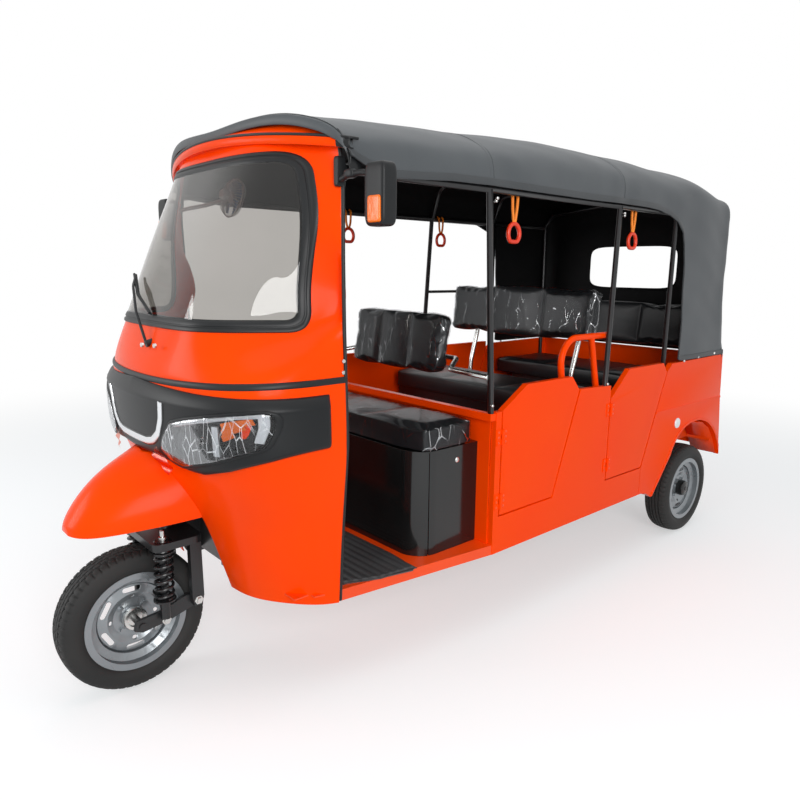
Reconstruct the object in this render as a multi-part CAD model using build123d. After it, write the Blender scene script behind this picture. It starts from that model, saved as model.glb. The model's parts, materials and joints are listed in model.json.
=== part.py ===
"""Three-wheeled passenger auto rickshaw with a fabric canopy and two passenger benches.

Millimetres. Front of the vehicle faces -Y, +X is the vehicle's left side, +Z is up and the
wheels stand on z = 0. Every size below is measured from the front axle line (y = 0), and
save() moves each piece by MID_Y, so the written origin is the middle of the vehicle's
length, on its centre plane, on the ground.
"""
from build123d import *
import os
from math import atan2, cos, degrees, pi, radians, sin, sqrt, tan

# ---------------------------------------------------------------- driving dimensions
TYRE_R = 243            # 130/70-12 tyre
TYRE_HALF = 64
BEAD_R = 152.4          # 12 inch rim
FLANGE_R = 170
FLANGE_X = 55
WHEELBASE = 2813
REAR_X = 530            # rear wheel centre plane
MID_Y = 1453            # middle of the overall length, behind the front axle

BODY_X = 606            # half width over the side panels
WALL = 25               # thickness of a side wall or a door
SHEET = 5               # thickness of pressed sheet
TAIL_Y = 3149           # rearmost point, the tail of the rear quarter

PILLAR_Y = 493          # rear edge of the windscreen pillars
B_Y = 1163              # front face of the B post panel
BELT_Z = 983            # top of the body sides
SILL_Z = 333            # bottom of the body sides
FLOOR_Z = 372           # top of the driver's floor
DECK_Z = 480            # top of the passenger floor
ROOF_RAIL_Z = 1690
ROOF_RAIL_X = 579
POLE_R = 11.5

RAKE = 20               # steering axis, degrees from vertical
STEER_FOOT_Y = -60      # where the steering axis meets the ground

# nose stations: height, half width at the pillar, then the distance of the skin behind the front
# axle at each share of that half width in NOSE_SHARES; the last one is PILLAR_Y
NOSE_SHARES = (0.0, 0.36, 0.52, 0.65, 0.77, 0.88, 0.965, 1.0)
NOSE = [
    (SILL_Z, 525, (272, 279, 288, 312, 352, 400, 455)),
    (480, 534, (222, 232, 250, 278, 318, 370, 430)),
    (612, 545, (172, 184, 205, 236, 280, 338, 408)),
    (740, 558, (112, 126, 146, 174, 214, 272, 350)),
    (850, 568, (83, 97, 115, 139, 173, 223, 304)),
    (980, 567, (74, 88, 106, 130, 163, 213, 293)),
    (1091, 563, (71, 85, 103, 128, 163, 216, 298)),
    (1222, 557, (118, 125, 147, 199, 286, 387, 461)),
    (1500, 554, (231, 239, 261, 305, 369, 437, 480)),
    (1735, 549, (335, 343, 363, 398, 440, 474, 489)),
    (1790, 543, (357, 365, 384, 416, 453, 480, 491)),
]

os.makedirs("parts", exist_ok=True)


def save(shape, node):
    """Write one node, moved from the axle frame to the vehicle's own origin."""
    export_step(Pos(0, -MID_Y, 0) * shape, f"parts/{node}.step")


def box(x, y, z):
    """A box from (low, high) pairs."""
    size = [b - a for a, b in (x, y, z)]
    return Pos(*[(a + b) / 2 for a, b in (x, y, z)]) * Box(*size)


def mirror_x(shape):
    return mirror(shape, Plane.YZ)


def both(shape):
    return Compound([shape, mirror_x(shape)])


def rod(a, b, r, hollow=0.0):
    """A round bar between two points."""
    a, b = Vector(*a), Vector(*b)
    plane = Plane(a, z_dir=b - a)
    length = (b - a).length
    bar = extrude(plane * Circle(r), length)
    if hollow:
        bar -= extrude(plane * Circle(hollow), length)
    return bar


def tube(points, r, bend):
    """A bent tube along points, with arcs of radius bend."""
    path = FilletPolyline(*points, radius=bend)
    return sweep(Plane(path @ 0, z_dir=path % 0) * Circle(r), path)


def panel_yz(points, x0, x1):
    """A flat panel with a (y, z) outline between two x planes."""
    face = Plane.YZ * make_face(Polyline(*points, close=True))
    return Pos(x0, 0, 0) * extrude(face, x1 - x0)


def panel_xy(points, z0, z1):
    return Pos(0, 0, z0) * extrude(make_face(Polyline(*points, close=True)), z1 - z0)


def ring(face):
    """A solid of revolution about the X axis from a face in the XY plane."""
    face = face.face()
    return revolve(face if face.normal_at().Z > 0 else -face, Axis.X)


def mixed(low, high, t):
    return low + (high - low) * t


# ---------------------------------------------------------------- nose shell
def nose_face(z, half, depths, grow, back_y):
    """Level section of the nose: a bow from pillar to pillar, closed at back_y."""
    half = half + grow
    ys = [y - grow * (PILLAR_Y - y) / (PILLAR_Y - depths[0]) for y in depths] + [PILLAR_Y]
    left = [(share * half, y) for share, y in zip(NOSE_SHARES, ys)]
    right = [(-x, y) for x, y in reversed(left[1:])]
    bow = Spline(*[(x, y, 0) for x, y in right + left])
    end = Polyline((half, PILLAR_Y, 0), (half, back_y, 0), (-half, back_y, 0), (-half, PILLAR_Y, 0))
    return Pos(0, 0, z) * make_face(bow + end)


NOSE_SOLIDS = {}
NOSE_BACK_Y = PILLAR_Y + 40


def nose(grow):
    """The whole nose as a solid, grown outwards by grow, running on behind the pillars."""
    if grow not in NOSE_SOLIDS:
        NOSE_SOLIDS[grow] = loft([nose_face(*station, grow, NOSE_BACK_Y) for station in NOSE])
    return NOSE_SOLIDS[grow]


def nose_shell(outer, inner, low, high):
    """A skin of the nose between two offsets and two heights, cut at the pillars."""
    return (nose(outer) - nose(inner)) & box((-900, 900), (-300, PILLAR_Y), (low, high))


# ---------------------------------------------------------------- steering axis
AXIS_DIR = Vector(0, sin(radians(RAKE)), cos(radians(RAKE)))


def on_axis(z):
    """Point of the steering axis at height z."""
    return Vector(0, STEER_FOOT_Y + z * tan(radians(RAKE)), z)


# ---------------------------------------------------------------- chassis
RAIL_X = 250            # centre of each chassis rail
RAIL_HALF_W = 25
WELL_X = 195            # half width of the front wheel well
WELL_Y = 345            # its rear wall
WELL_TOP_Z = 640
STEM_R = 20
STEM_CLEAR = 0.05
HEAD_TUBE_Z = (585, 745)    # heights of the head tube's ends on the axis
SIDE_RAIL_Z = (SILL_Z, FLOOR_Z - SHEET)
TOW_R = 11              # towing eye: bore radius, place and plate thickness
TOW_Y = 3108
TOW_T = 12


def chassis_frame():
    """Ladder frame of box tube, rising to carry the deck, with the steering head tube."""
    ladder = None
    low, high = SIDE_RAIL_Z
    deck_low, deck_high = DECK_Z - 10 - 70, DECK_Z - 10
    for side in (-1, 1):
        x = (side * RAIL_X - RAIL_HALF_W, side * RAIL_X + RAIL_HALF_W)
        front = box(x, (WELL_Y + SHEET, B_Y + 60), (low - 30, high))
        rear = box(x, (B_Y + SHEET, TAIL_Y - 80), (deck_low, deck_high))
        riser = box(x, (B_Y + SHEET, B_Y + 60), (low - 30, deck_high))
        rail = front + riser + rear
        ladder = rail if ladder is None else ladder + rail
    for y in (WELL_Y + SHEET + 20, 760):
        ladder += box((-RAIL_X, RAIL_X), (y, y + 40), (low - 20, high))
    for y in (B_Y + 60, 1650, 2050, 2420, TAIL_Y - 120):
        ladder += box((-RAIL_X, RAIL_X), (y, y + 40), (deck_low + 20, deck_high))
    for y in (B_Y + 62, 1560, 2010):
        ladder += box((-BODY_X + WALL, BODY_X - WALL), (y + 40, y + 80), (deck_high - 30, deck_high))
    post_foot, post_head = on_axis(HEAD_TUBE_Z[0]), on_axis(HEAD_TUBE_Z[1])
    head = rod(post_foot, post_head, 32)
    gussets = box((-60, 60), (post_foot.Y + 10, WELL_Y + 60), (WELL_TOP_Z + SHEET, WELL_TOP_Z + 60))
    mast = box((-30, 30), (WELL_Y + SHEET, WELL_Y + 60), (low - 20, WELL_TOP_Z + 60))
    neck = head + gussets + mast
    neck -= rod(on_axis(HEAD_TUBE_Z[0] - 60), on_axis(HEAD_TUBE_Z[1] + 120), STEM_R + STEM_CLEAR)
    tow = box((-40, 40), (TAIL_Y - 120, TAIL_Y - 6), (deck_low, deck_low + TOW_T))
    tow = fillet(tow.edges().filter_by(Axis.Z).group_by(Axis.Y)[-1], 35)
    tow -= rod((0, TOW_Y, deck_low - 5), (0, TOW_Y, deck_low + TOW_T + 5), TOW_R)
    return ladder + neck + tow


def wheel_well():
    """Sheet liner of the front wheel well: two sides, a rear wall and a roof with a stem hole."""
    y_front = 150
    outer = box((-WELL_X, WELL_X), (y_front, WELL_Y + SHEET), (SILL_Z, WELL_TOP_Z + SHEET))
    inner = box((-WELL_X + SHEET, WELL_X - SHEET), (y_front - 1, WELL_Y), (SILL_Z - 1, WELL_TOP_Z))
    liner = outer - inner
    liner -= rod(on_axis(500), on_axis(760), 36)
    return liner & nose(-8)


TREAD_PLATES = [((-520, 520), (1240, 1590)), ((-520, 520), (2080, 2420))]    # passengers' footwells
TREAD_T = 3
BOX_X = 440             # inner side of the rear wheel boxes
BOX_Y = (2445, 3078)
BOX_TOP_Z = 650


def floor_pan():
    """Driver's floor with its folded sill edges, and the raised passenger deck with wheel boxes."""
    front_y, wide_y = WELL_Y + SHEET, B_Y
    plan = [(-505, front_y + 60), (505, front_y + 60), (521, PILLAR_Y), (BODY_X - 2, wide_y),
            (-BODY_X + 2, wide_y), (-521, PILLAR_Y)]
    driver = panel_xy(plan, FLOOR_Z - SHEET, FLOOR_Z)
    driver = driver + box((-480, 480), (front_y, front_y + 61), (FLOOR_Z - SHEET, FLOOR_Z))
    lip = SHEET
    for side in (1, -1):
        edge = [(side * 521, PILLAR_Y + 2), (side * (BODY_X - 2), wide_y),
                (side * (BODY_X - 2 - lip), wide_y), (side * (521 - lip), PILLAR_Y + 2)]
        driver = driver + panel_xy(edge, SILL_Z, FLOOR_Z)
    inside = BODY_X - WALL
    deck = box((-inside, inside), (B_Y + SHEET, TAIL_Y - 70), (DECK_Z - 10, DECK_Z))
    riser = box((-inside, inside), (B_Y, B_Y + SHEET), (FLOOR_Z - SHEET, DECK_Z))
    pan = driver + riser + deck
    for side in (1, -1):
        x_in, x_out = side * BOX_X, side * inside
        x = (min(x_in, x_out), max(x_in, x_out))
        void = (x[0] + (SHEET if side > 0 else 0), x[1] - (0 if side > 0 else SHEET))
        pan -= box(x, BOX_Y, (DECK_Z - 20, DECK_Z + 1))
        hood = box(x, BOX_Y, (DECK_Z - 10, BOX_TOP_Z))
        hood -= box(void, (BOX_Y[0] + SHEET, BOX_Y[1] - SHEET), (DECK_Z - 20, BOX_TOP_Z - SHEET))
        pan = pan + hood
    for x, y in TREAD_PLATES:
        pan += box(x, y, (DECK_Z, DECK_Z + TREAD_T))
    return pan


def floor_mat():
    """Ribbed rubber mat on the driver's floor."""
    plan = [(-490, 420), (490, 420), (500, 540), (540, 640), (572, 780), (560, 800), (420, 815),
            (-420, 815), (-560, 800), (-572, 780), (-540, 640), (-500, 540)]
    return panel_xy(plan, FLOOR_Z, FLOOR_Z + 4)


# ---------------------------------------------------------------- front body
BELT_SPLIT_Z = 1077     # level joint between the lower and the upper front skin
BELT_TRIM_Z = (1074, 1094)  # the trim's edges at the pillars; it dips by BELT_DIP at the centre
BELT_DIP = 14
FASCIA_Z = (800, 1059)
FASCIA_OUT = 30         # how far the fascia stands out from the painted skin


def beak_face(y, half, low, top, grow):
    """Cross-section of the front fender: an arch over a flat lower edge."""
    half, top = half + grow, top + grow
    shoulder = mixed(low, top, 0.62)
    arch = Spline((-half, y, low), (-half * 0.80, y, shoulder), (0, y, top),
                  (half * 0.80, y, shoulder), (half, y, low))
    return make_face(arch + Line((half, y, low), (-half, y, low)))


BEAK = [(-186, 30, 590, 612), (-165, 72, 588, 650), (-100, 118, 590, 730), (0, 158, 598, 800),
        (110, 188, 606, 860), (240, 206, 612, 910)]


def front_fender():
    """Beak-shaped fender that butts against the nose."""
    skin = loft([beak_face(y, half, low, top, 0) for y, half, low, top in BEAK])
    inner = [(y + 8, max(half - 6, 12), low - 2, top - 8) for y, half, low, top in BEAK]
    hollow = loft([beak_face(y, half, low, top, 0) for y, half, low, top in inner])
    hollow = hollow + Pos(0, 0, -20) * hollow
    return skin - hollow - nose(0)


def arch_band(low, high, rise):
    """A band across the vehicle, arched up by rise between two feet BROW_X from the centre."""
    lower = ThreePointArc((-BROW_X, low), (0, low + rise), (BROW_X, low))
    upper = ThreePointArc((BROW_X, high), (0, high + rise), (-BROW_X, high))
    sides = Line((BROW_X, low), (BROW_X, high)) + Line((-BROW_X, high), (-BROW_X, low))
    return extrude(Plane.XZ * make_face(lower + upper + sides), -PILLAR_Y - 100, both=True)


SCREEN_Z = (1240, 1747)
SCREEN_Y = (412, 447)       # the opening's rear edge at its foot and at its top


def windscreen_prism(grow):
    """Everything ahead of the windscreen's rear edge, rounded at its two rear corners."""
    g = grow
    low, high = SCREEN_Z
    rear = [(SCREEN_Y[0] + g, low - g), (SCREEN_Y[1] + g, high + g)]
    block = panel_yz([(-200, low - g), *rear, (-200, high + g)], -900, 900)
    corners = block.edges().filter_by(Axis.X).filter_by_position(Axis.Y, 300, 600)
    return fillet(corners, 60 + g)


def cowl_lower():
    """Painted front panel below the belt, open for the wheel well."""
    panel = nose_shell(0, -8, SILL_Z, BELT_SPLIT_Z)
    panel -= box((-WELL_X, WELL_X), (-100, WELL_Y + 60), (SILL_Z - 10, 612))
    panel -= rod(on_axis(500), on_axis(800), 40)
    return panel


def cowl_upper():
    """Painted windscreen surround from the belt to the roof."""
    panel = nose_shell(0, -8, BELT_SPLIT_Z, 1772)
    return panel - windscreen_prism(0)


def windscreen_glass():
    return nose_shell(0, -5, 1091, 1786) & windscreen_prism(-1)


def windscreen_seal():
    """Rubber seal that grips the glass and the opening's edge."""
    return nose_shell(6, 0, 1091, 1786) & (windscreen_prism(14) - windscreen_prism(-22))


def belt_trim():
    return nose_shell(7, 0, 1040, 1110) & arch_band(*BELT_TRIM_Z, -BELT_DIP)


# roof cap: a brow along the top of the windscreen and a hood behind it, under the canopy
BROW_Y, BROW_X = 338, 598
HOOD_Y, HOOD_X = 372, 566
BROW_ARCH = (1752, 1796)    # height of the brow's lower edge at its ends and on the centre line


def cap_plan(nose_y, half, high):
    """A tall block with the roof's rounded plan, from the centre line back to the pillars."""
    depth = PILLAR_Y - nose_y
    shares = (-1, -0.7, -0.35, 0, 0.35, 0.7, 1)
    bow = Spline(*[(share * half, nose_y + depth * share * share) for share in shares])
    end = Line((-half, PILLAR_Y), (half, PILLAR_Y))
    return Pos(0, 0, 1700) * extrude(make_face(bow + end), high - 1700)


def roof_cap():
    """Painted front roof skin: the brow over the windscreen and the hood that runs under the canopy."""
    low, rise = BROW_ARCH[0], BROW_ARCH[1] - BROW_ARCH[0]
    brow = cap_plan(BROW_Y, BROW_X, 1900) & arch_band(low, low + 24, rise)
    hood = cap_plan(HOOD_Y, HOOD_X, 1900) & arch_band(low + 20, low + 140, rise)
    hood = hood & canopy_block(-CANOPY_T - 1, 330)
    hollow = cap_plan(HOOD_Y + 30, HOOD_X - 20, 1900) & arch_band(low - 20, low + 140, rise)
    hollow = hollow & canopy_block(-CANOPY_T - 9, 330)
    return (brow + hood - hollow - nose(0)).solids().sort_by(SortBy.VOLUME)[-1]


def fascia():
    """Black plastic front panel that carries the headlamps; its lower edge dips under them."""
    low, high = FASCIA_Z
    band = nose_shell(FASCIA_OUT, 0, low - 20, high)
    outline = [(-100, high), (PILLAR_Y - 60, high - 4), (PILLAR_Y - 60, low + 85), (373, low + 80),
               (238, low + 60), (157, low + 25), (125, low + 2), (105, low), (75, low + 22), (-100, low + 24)]
    return band & panel_yz(outline, -900, 900)


LAMP_OUTLINE = [(197, 862), (262, 956), (410, 990), (552, 1012), (562, 1005), (560, 962), (546, 908),
                (419, 858), (294, 824)]     # x and z of the left lens
STRIP_TOP, STRIP_FOOT = (216, 1015), (123, 876)     # x and z of the light strip's corners
STRIP_HALF = 8


def headlamps():
    """Clear lamp lenses, one each side of the nose, and the U-shaped light strip between them."""
    lens = nose_shell(FASCIA_OUT + 4, FASCIA_OUT - 12, 700, FASCIA_Z[1])
    window = extrude(Plane.XZ * make_face(Polyline(*LAMP_OUTLINE, close=True)), 400, both=True)
    (top_x, top_z), (foot_x, foot_z) = STRIP_TOP, STRIP_FOOT
    run = Polyline((-top_x, top_z), (-foot_x, foot_z), (foot_x, foot_z), (top_x, top_z))
    strip = make_face(offset(run, STRIP_HALF, kind=Kind.ARC, side=Side.BOTH))
    strip = extrude(Plane.XZ * strip, 400, both=True)
    return Compound([*both(lens & window).solids(), *(lens & strip).solids()])


# ---------------------------------------------------------------- side panels
DOOR_GAP = 7
CENTRE_TOP_Z = 918
DOOR1 = [(1200, 487), (1200, 900), (1341, 985), (1640, 985), (1694, 925), (1534, 487)]
DOOR2 = [(1950, 477), (1950, 855), (2093, 977), (2411, 977), (2449, 930), (2258, 477)]
LEFT_X = (BODY_X - WALL, BODY_X)


def quarter_outline():
    """Rear quarter, from the rear door's gap to the tail, with the wheel arch cut out."""
    gap = DOOR_GAP
    return [(2258 + gap, 466), (2449 + gap, 930), (2500, 968), (3078, 972), (3097, 731), (3118, 600),
            (TAIL_Y, 390), (TAIL_Y - 20, 372), (2384, 296), (2340, 322), (2290, SILL_Z), (2265, SILL_Z)]


def side_panel_left():
    """Left body side between the driver's doorway and the rear door: post panel, sill, centre panel."""
    gap = DOOR_GAP
    post = [(B_Y, SILL_Z), (2262, SILL_Z), (2262, 477 - gap), (1943, 477 - gap), (1943, CENTRE_TOP_Z - 3),
            (1694 + gap + 4, CENTRE_TOP_Z + 8), (1534 + gap, 487 - gap), (1193, 487 - gap), (1193, 897),
            (B_Y, 897)]
    return panel_yz(post, *LEFT_X)


def side_panel_right():
    """Right body side, closed from the post panel to the rear quarter."""
    outline = [(B_Y, SILL_Z), (2262, SILL_Z), (2262, 477), (2449, 930), (2449, BELT_Z), (1300, BELT_Z),
               (1193, 900), (B_Y, 897)]
    return panel_yz(outline, -BODY_X, -BODY_X + WALL)


def arch_face(grow):
    """The wheel arch opening, (y, z): a slanted front edge, a rounded top and a sloping rear edge."""
    g = grow
    front = Line((2384 - g, 280), (2560 - g, 482 + g * 0.4))
    crown = ThreePointArc((2560 - g, 482 + g * 0.4), (2655 - g * 0.7, 590 + g * 0.8), (2790, 628 + g))
    rear = ThreePointArc((2790, 628 + g), (3000 + g * 0.4, 580 + g), (3145 + g, 392))
    base = Polyline((3145 + g, 392), (3145 + g, 280), (2384 - g, 280))
    return make_face(front + crown + rear + base)


def quarter(side):
    """Rear quarter panel with a rolled lip round its wheel arch and a pressed waist line."""
    x0, x1 = LEFT_X
    panel = panel_yz(quarter_outline(), x0, x1)
    waist = panel_yz([(2374, 726), (3097, 726), (3096, 736), (2378, 736)], x1 - 1, x1 + 3)
    lip = Pos(x1 - 1, 0, 0) * extrude(Plane.YZ * arch_face(14), 4)
    lip = lip & panel_yz(quarter_outline(), x1 - 2, x1 + 4)
    panel = panel + waist + lip
    panel -= Pos(x0 - 10, 0, 0) * extrude(Plane.YZ * arch_face(0), 60)
    return panel if side > 0 else mirror_x(panel)


def tail_panel():
    """Rear wall between the quarters, with its sloping lower part."""
    inside = BODY_X - WALL
    outline = [(3078, 972), (3097, 731), (3118, 600), (3140, 430), (3120, 430), (3098, 600), (3077, 731),
               (3058, 972)]
    wall = panel_yz(outline, -inside, inside)
    plate = box((-115, 115), (3131, 3134), (520, 640))
    for side in (-1, 1):
        plate += box((side * 60 - 8, side * 60 + 8), (3115, 3132), (530, 570))
        plate -= rod((side * PLATE_X, 3120, PLATE_Z), (side * PLATE_X, 3140, PLATE_Z), PLATE_HOLE_R)
    return wall + plate


PLATE_X = 90            # two bolt holes of the number plate bracket
PLATE_Z = 622
PLATE_HOLE_R = 3.5


def tail_lamps():
    lamp = box((430, 520), (3080, 3128), (690, 810))
    return both(lamp)


BULKHEAD_Z = 893


def bulkhead():
    """Wall between driver and passengers, with its folded top rail."""
    inside = BODY_X - WALL
    wall = box((-inside, inside), (B_Y - SHEET, B_Y), (FLOOR_Z, 865))
    rail = box((-BODY_X + 3, BODY_X - 3), (B_Y - 30, B_Y), (BULKHEAD_Z - 28, BULKHEAD_Z))
    return wall + rail


# ---------------------------------------------------------------- seats
DRIVER_SEAT_Z = (772, 865)
BENCH_Z = (795, 885)
MID_Y0, MID_Y1 = 1650, 2000
REAR_Y0, REAR_Y1 = 2490, 2930


def seat_base():
    """Driver's seat box with large rounded front corners, open below."""
    top = DRIVER_SEAT_Z[0]
    y0, y1 = 848, B_Y - SHEET
    body = box((-520, 520), (y0, y1), (FLOOR_Z, top))
    body = fillet(body.edges().filter_by(Axis.Z).group_by(Axis.Y)[0], 95)
    body -= box((-520 + 6, 520 - 6), (y0 + 60, y1 - 6), (FLOOR_Z - 1, top - 6))
    body -= box((-425, 425), (y0 + 6, y0 + 61), (FLOOR_Z - 1, top - 6))
    return body


def driver_cushion():
    plan = [(-531, B_Y - 8), (-531, 871), (-410, 845), (410, 845), (531, 871), (531, B_Y - 8)]
    pad = panel_xy([(x, y - 30 if y > 1000 else y) for x, y in plan], *DRIVER_SEAT_Z)
    return fillet(pad.edges().filter_by(Axis.Z), 20)


def driver_backrest():
    pad = box((-285, 285), (-35, 35), (-125, 125))
    pad = fillet(pad.edges().filter_by(Axis.Y), 45)
    return Pos(0, 1215, 1120) * Rot(-8, 0, 0) * pad


def bench_bases():
    """Boxes under the two passenger benches."""
    mid = box((-540, 540), (MID_Y0 + 40, MID_Y1 - 30), (DECK_Z, BENCH_Z[0]))
    mid -= box((-534, 534), (MID_Y0 + 46, MID_Y1 - 36), (DECK_Z - 1, BENCH_Z[0] - 6))
    rear = box((-430, 430), (REAR_Y0 + 40, REAR_Y1), (DECK_Z, BENCH_Z[0]))
    rear -= box((-424, 424), (REAR_Y0 + 46, REAR_Y1 - 6), (DECK_Z - 1, BENCH_Z[0] - 6))
    return Compound([mid, rear])


def bench_cushions():
    mid = box((-540, 540), (MID_Y0, MID_Y1), BENCH_Z)
    rear = box((-548, 548), (REAR_Y0, REAR_Y1), BENCH_Z)
    pads = [fillet(pad.edges().filter_by(Axis.Z), 40) for pad in (mid, rear)]
    return Compound(pads)


def bench_backrests():
    pad = box((-462, 462), (-35, 35), (-125, 125))
    pad = fillet(pad.edges().filter_by(Axis.Y), 40)
    mid = Pos(0, 2040, 1210) * Rot(-6, 0, 0) * pad
    rear = Pos(0, 2985, 1120) * Rot(-8, 0, 0) * pad
    return Compound([mid, rear])


def backrest_frames():
    """Bent tubes that carry the driver's backrest and the middle bench's backrest."""
    inside = BODY_X - WALL
    driver = tube([(-inside - 5, 1130, 1030), (-380, 1140, 1035), (-300, 1262, 1060), (300, 1262, 1060),
                   (380, 1140, 1035), (inside + 5, 1130, 1030)], 10, 30)
    legs = None
    for x in (-330, 330):
        leg = tube([(x, 2020, BENCH_Z[0] - 100), (x, 2040, 930), (x, 2084, 1080), (x, 2092, 1200)], 12, 60)
        legs = leg if legs is None else legs + leg
    return Compound([driver] + list(legs.solids()))


# ---------------------------------------------------------------- canopy
# stations of the canopy: y, half width at the hem, height of the shoulder, height of the crown
HEM_Z = 1702
CANOPY = [
    (400, 588, 1836, 1862),
    (580, 597, 1844, 1886),
    (1000, 598, 1862, 1912),
    (1550, 600, 1885, 1935),
    (2050, 600, 1888, 1940),
    (2500, 600, 1878, 1925),
    (2850, 600, 1846, 1895),
    (3000, 594, 1812, 1858),
    (3055, 570, 1770, 1808),
    (3078, 528, 1705, 1735),
]
REAR_OPEN_Y = 2495      # front edge of the closed rear part of the canopy
CANOPY_T = 8
REAR_WINDOW = [(-270, 300), (1322, 1566)]


def roof_face(y, half, shoulder, crown, low, grow):
    """Cross-section of the roof: an arch down to straight side hems."""
    half, shoulder, crown = half + grow, shoulder + grow, crown + grow
    bend_z = min(HEM_Z, shoulder - 60)
    turn_z = mixed(bend_z, shoulder, 0.55)
    arch = Spline((-half, y, bend_z), (-half + 14, y, turn_z), (-half + 110, y, shoulder), (0, y, crown),
                  (half - 110, y, shoulder), (half - 14, y, turn_z), (half, y, bend_z))
    base = Polyline((half, y, bend_z), (half, y, low), (-half, y, low), (-half, y, bend_z))
    return make_face(arch + base)


def canopy_block(grow, front_y):
    """The whole cover as a solid down to the belt; front_y moves its first section."""
    stations = [(front_y,) + CANOPY[0][1:]] + [(y + grow, *rest) for y, *rest in CANOPY[1:]]
    return loft([roof_face(*station, BELT_Z - 14, grow) for station in stations])


def canopy():
    """Fabric cover: roof with side flaps to the hem and a closed rear down to the belt."""
    cover = canopy_block(0, CANOPY[0][0]) - canopy_block(-CANOPY_T, CANOPY[0][0] - 30)
    cover -= box((-900, 900), (0, REAR_OPEN_Y), (0, HEM_Z))
    cover -= box((-900, 900), (0, PILLAR_Y + 4), (0, 1788))
    cover -= box((-900, 900), (REAR_OPEN_Y - 1, 4000), (BELT_Z - 20, BELT_Z - 6))
    (x0, x1), (z0, z1) = REAR_WINDOW
    window = box((x0, x1), (2950, 3200), (z0, z1))
    return cover - fillet(window.edges().filter_by(Axis.Y), 50)


def canopy_frame():
    """Poles, roof rails and bows that carry the canopy."""
    x, z = ROOF_RAIL_X, ROOF_RAIL_Z
    side = tube([(x - 30, PILLAR_Y + 8, z + 10), (x, 700, z), (x, 2990, z)], POLE_R, 200)
    side += rod((588, 1149, BULKHEAD_Z), (x + 1, 1110, z), POLE_R)
    side += rod((566, 2475, DECK_Z), (x - 6, 2475, z), POLE_R)
    side += rod((566, 2990, BOX_TOP_Z), (x - 6, 2990, z), POLE_R)
    left = side + rod((590, 1915, CENTRE_TOP_Z - 3), (x + 1, 1957, z), POLE_R)
    right = side + rod((590, 1915, BELT_Z), (x + 1, 1957, z), POLE_R)
    frame = left + mirror_x(right)
    for y, crown in ((1110, 1895), (1957, 1920), (2475, 1905), (2990, 1830)):
        frame += tube([(x, y, z), (x - 60, y, crown - 60), (0, y, crown - 8), (-x + 60, y, crown - 60),
                       (-x, y, z)], POLE_R, 70)
    frame += rod((-586, 1938, 1294), (-567, 2475, 1294), 8)
    return frame


def grab_tube():
    """Bent handrail on the centre panel, with a second leg near its rear end."""
    x = LEFT_X[0] - 22
    rail = tube([(x, 1650, CENTRE_TOP_Z - 70), (x, 1598, 1138), (x, 1945, 1138)], 14, 100)
    rail += rod((x, 1830, 1138), (x, 1905, CENTRE_TOP_Z - 60), 14)
    return rail


GRIPS = {1: ((1270, 1548), (2100, 1548)), -1: ((1364, 1579), (2014, 1579))}     # y and z of each ring


def hand_grips():
    """Four hanging hand grips: a strap over the roof rail and a ring below it."""
    grips = []
    for side in (-1, 1):
        for y, ring_z in GRIPS[side]:
            x = side * (ROOF_RAIL_X - POLE_R - 4)
            strap = box((x - 3, x + 3), (y - 16, y + 16), (ring_z + 32, 1712))
            ring = Pos(x, y, ring_z) * Rot(0, 90, 0) * Torus(34, 9)
            grips.append(strap + ring)
    return Compound(grips)


def mirrors():
    """Rear-view mirrors on short brackets at the windscreen pillars."""
    arm = tube([(548, 478, 1668), (625, 480, 1678), (700, 500, 1670)], 9, 30)
    housing = box((672, 762), (470, 540), (1535, 1710))
    housing = fillet(housing.edges(), 18)
    return both(arm + housing)


def wiper():
    """Wiper at the foot of the windscreen: pivot, arm and blade."""
    pivot = rod((58, 84, 1172), (58, 140, 1190), 12)
    arm = rod((58, 88, 1174), (-62, 112, 1310), 4) + rod((-62, 112, 1310), (-50, 140, 1366), 4)
    blade = rod((-50, 146, 1376), (8, 112, 1262), 5)
    return pivot + arm + blade


FAN = (-370, 630, 1694)     # middle of the fan's ring


def cabin_fan():
    """Small fan under the roof, held from the right windscreen pillar."""
    place = Pos(*FAN) * Rot(75, 0, 20)
    guard = place * Torus(75, 5) + place * Cylinder(26, 50) + place * Box(152, 8, 8) + place * Box(8, 152, 8)
    return guard + rod((-538, 482, 1640), (FAN[0] - 10, FAN[1] - 12, FAN[2] - 6), 9)


# ---------------------------------------------------------------- engine, axle
def engine():
    """Engine and gearbox, one plain block hung between the rails."""
    block = box((-180, 180), (2060, 2400), (225, 380))
    return fillet(block.edges().filter_by(Axis.X), 30)


def rear_axle():
    """Axle tube with its differential, and the leaf springs that carry it."""
    y, z = WHEELBASE, TYRE_R
    stub_x = REAR_X + 30
    profile = make_face(Polyline((-stub_x, 0), (-stub_x, 16), (-440, 16), (-440, 34), (-110, 34), (-60, 100),
                                 (60, 100), (110, 34), (440, 34), (440, 16), (stub_x, 16), (stub_x, 0),
                                 close=True))
    axle = Pos(0, y, z) * ring(profile)
    springs = None
    for side in (-1, 1):
        x = (side * 300 - 25, side * 300 + 25)
        leaf = box(x, (y - 340, y + 290), (z + 34, z + 62))
        for y_eye in (y - 340, y + 290):
            leaf += box(x, (y_eye - 15, y_eye + 15), (z + 34, DECK_Z - 60))
        springs = leaf if springs is None else springs + leaf
    return axle + springs


# ---------------------------------------------------------------- wheels
HUB_R = 38
AXLE_R = 16.05


def tyre():
    """Tyre about the X axis, closed on the inside by the rim."""
    half = [(BEAD_R, FLANGE_X - 3), (FLANGE_R + 3, FLANGE_X - 3), (201, TYRE_HALF), (231, TYRE_HALF - 14)]
    right = [(x, r) for r, x in half]
    return ring(make_face(Polyline(*right, (0, TYRE_R), *[(-x, r) for x, r in reversed(right)], close=True)))


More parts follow.
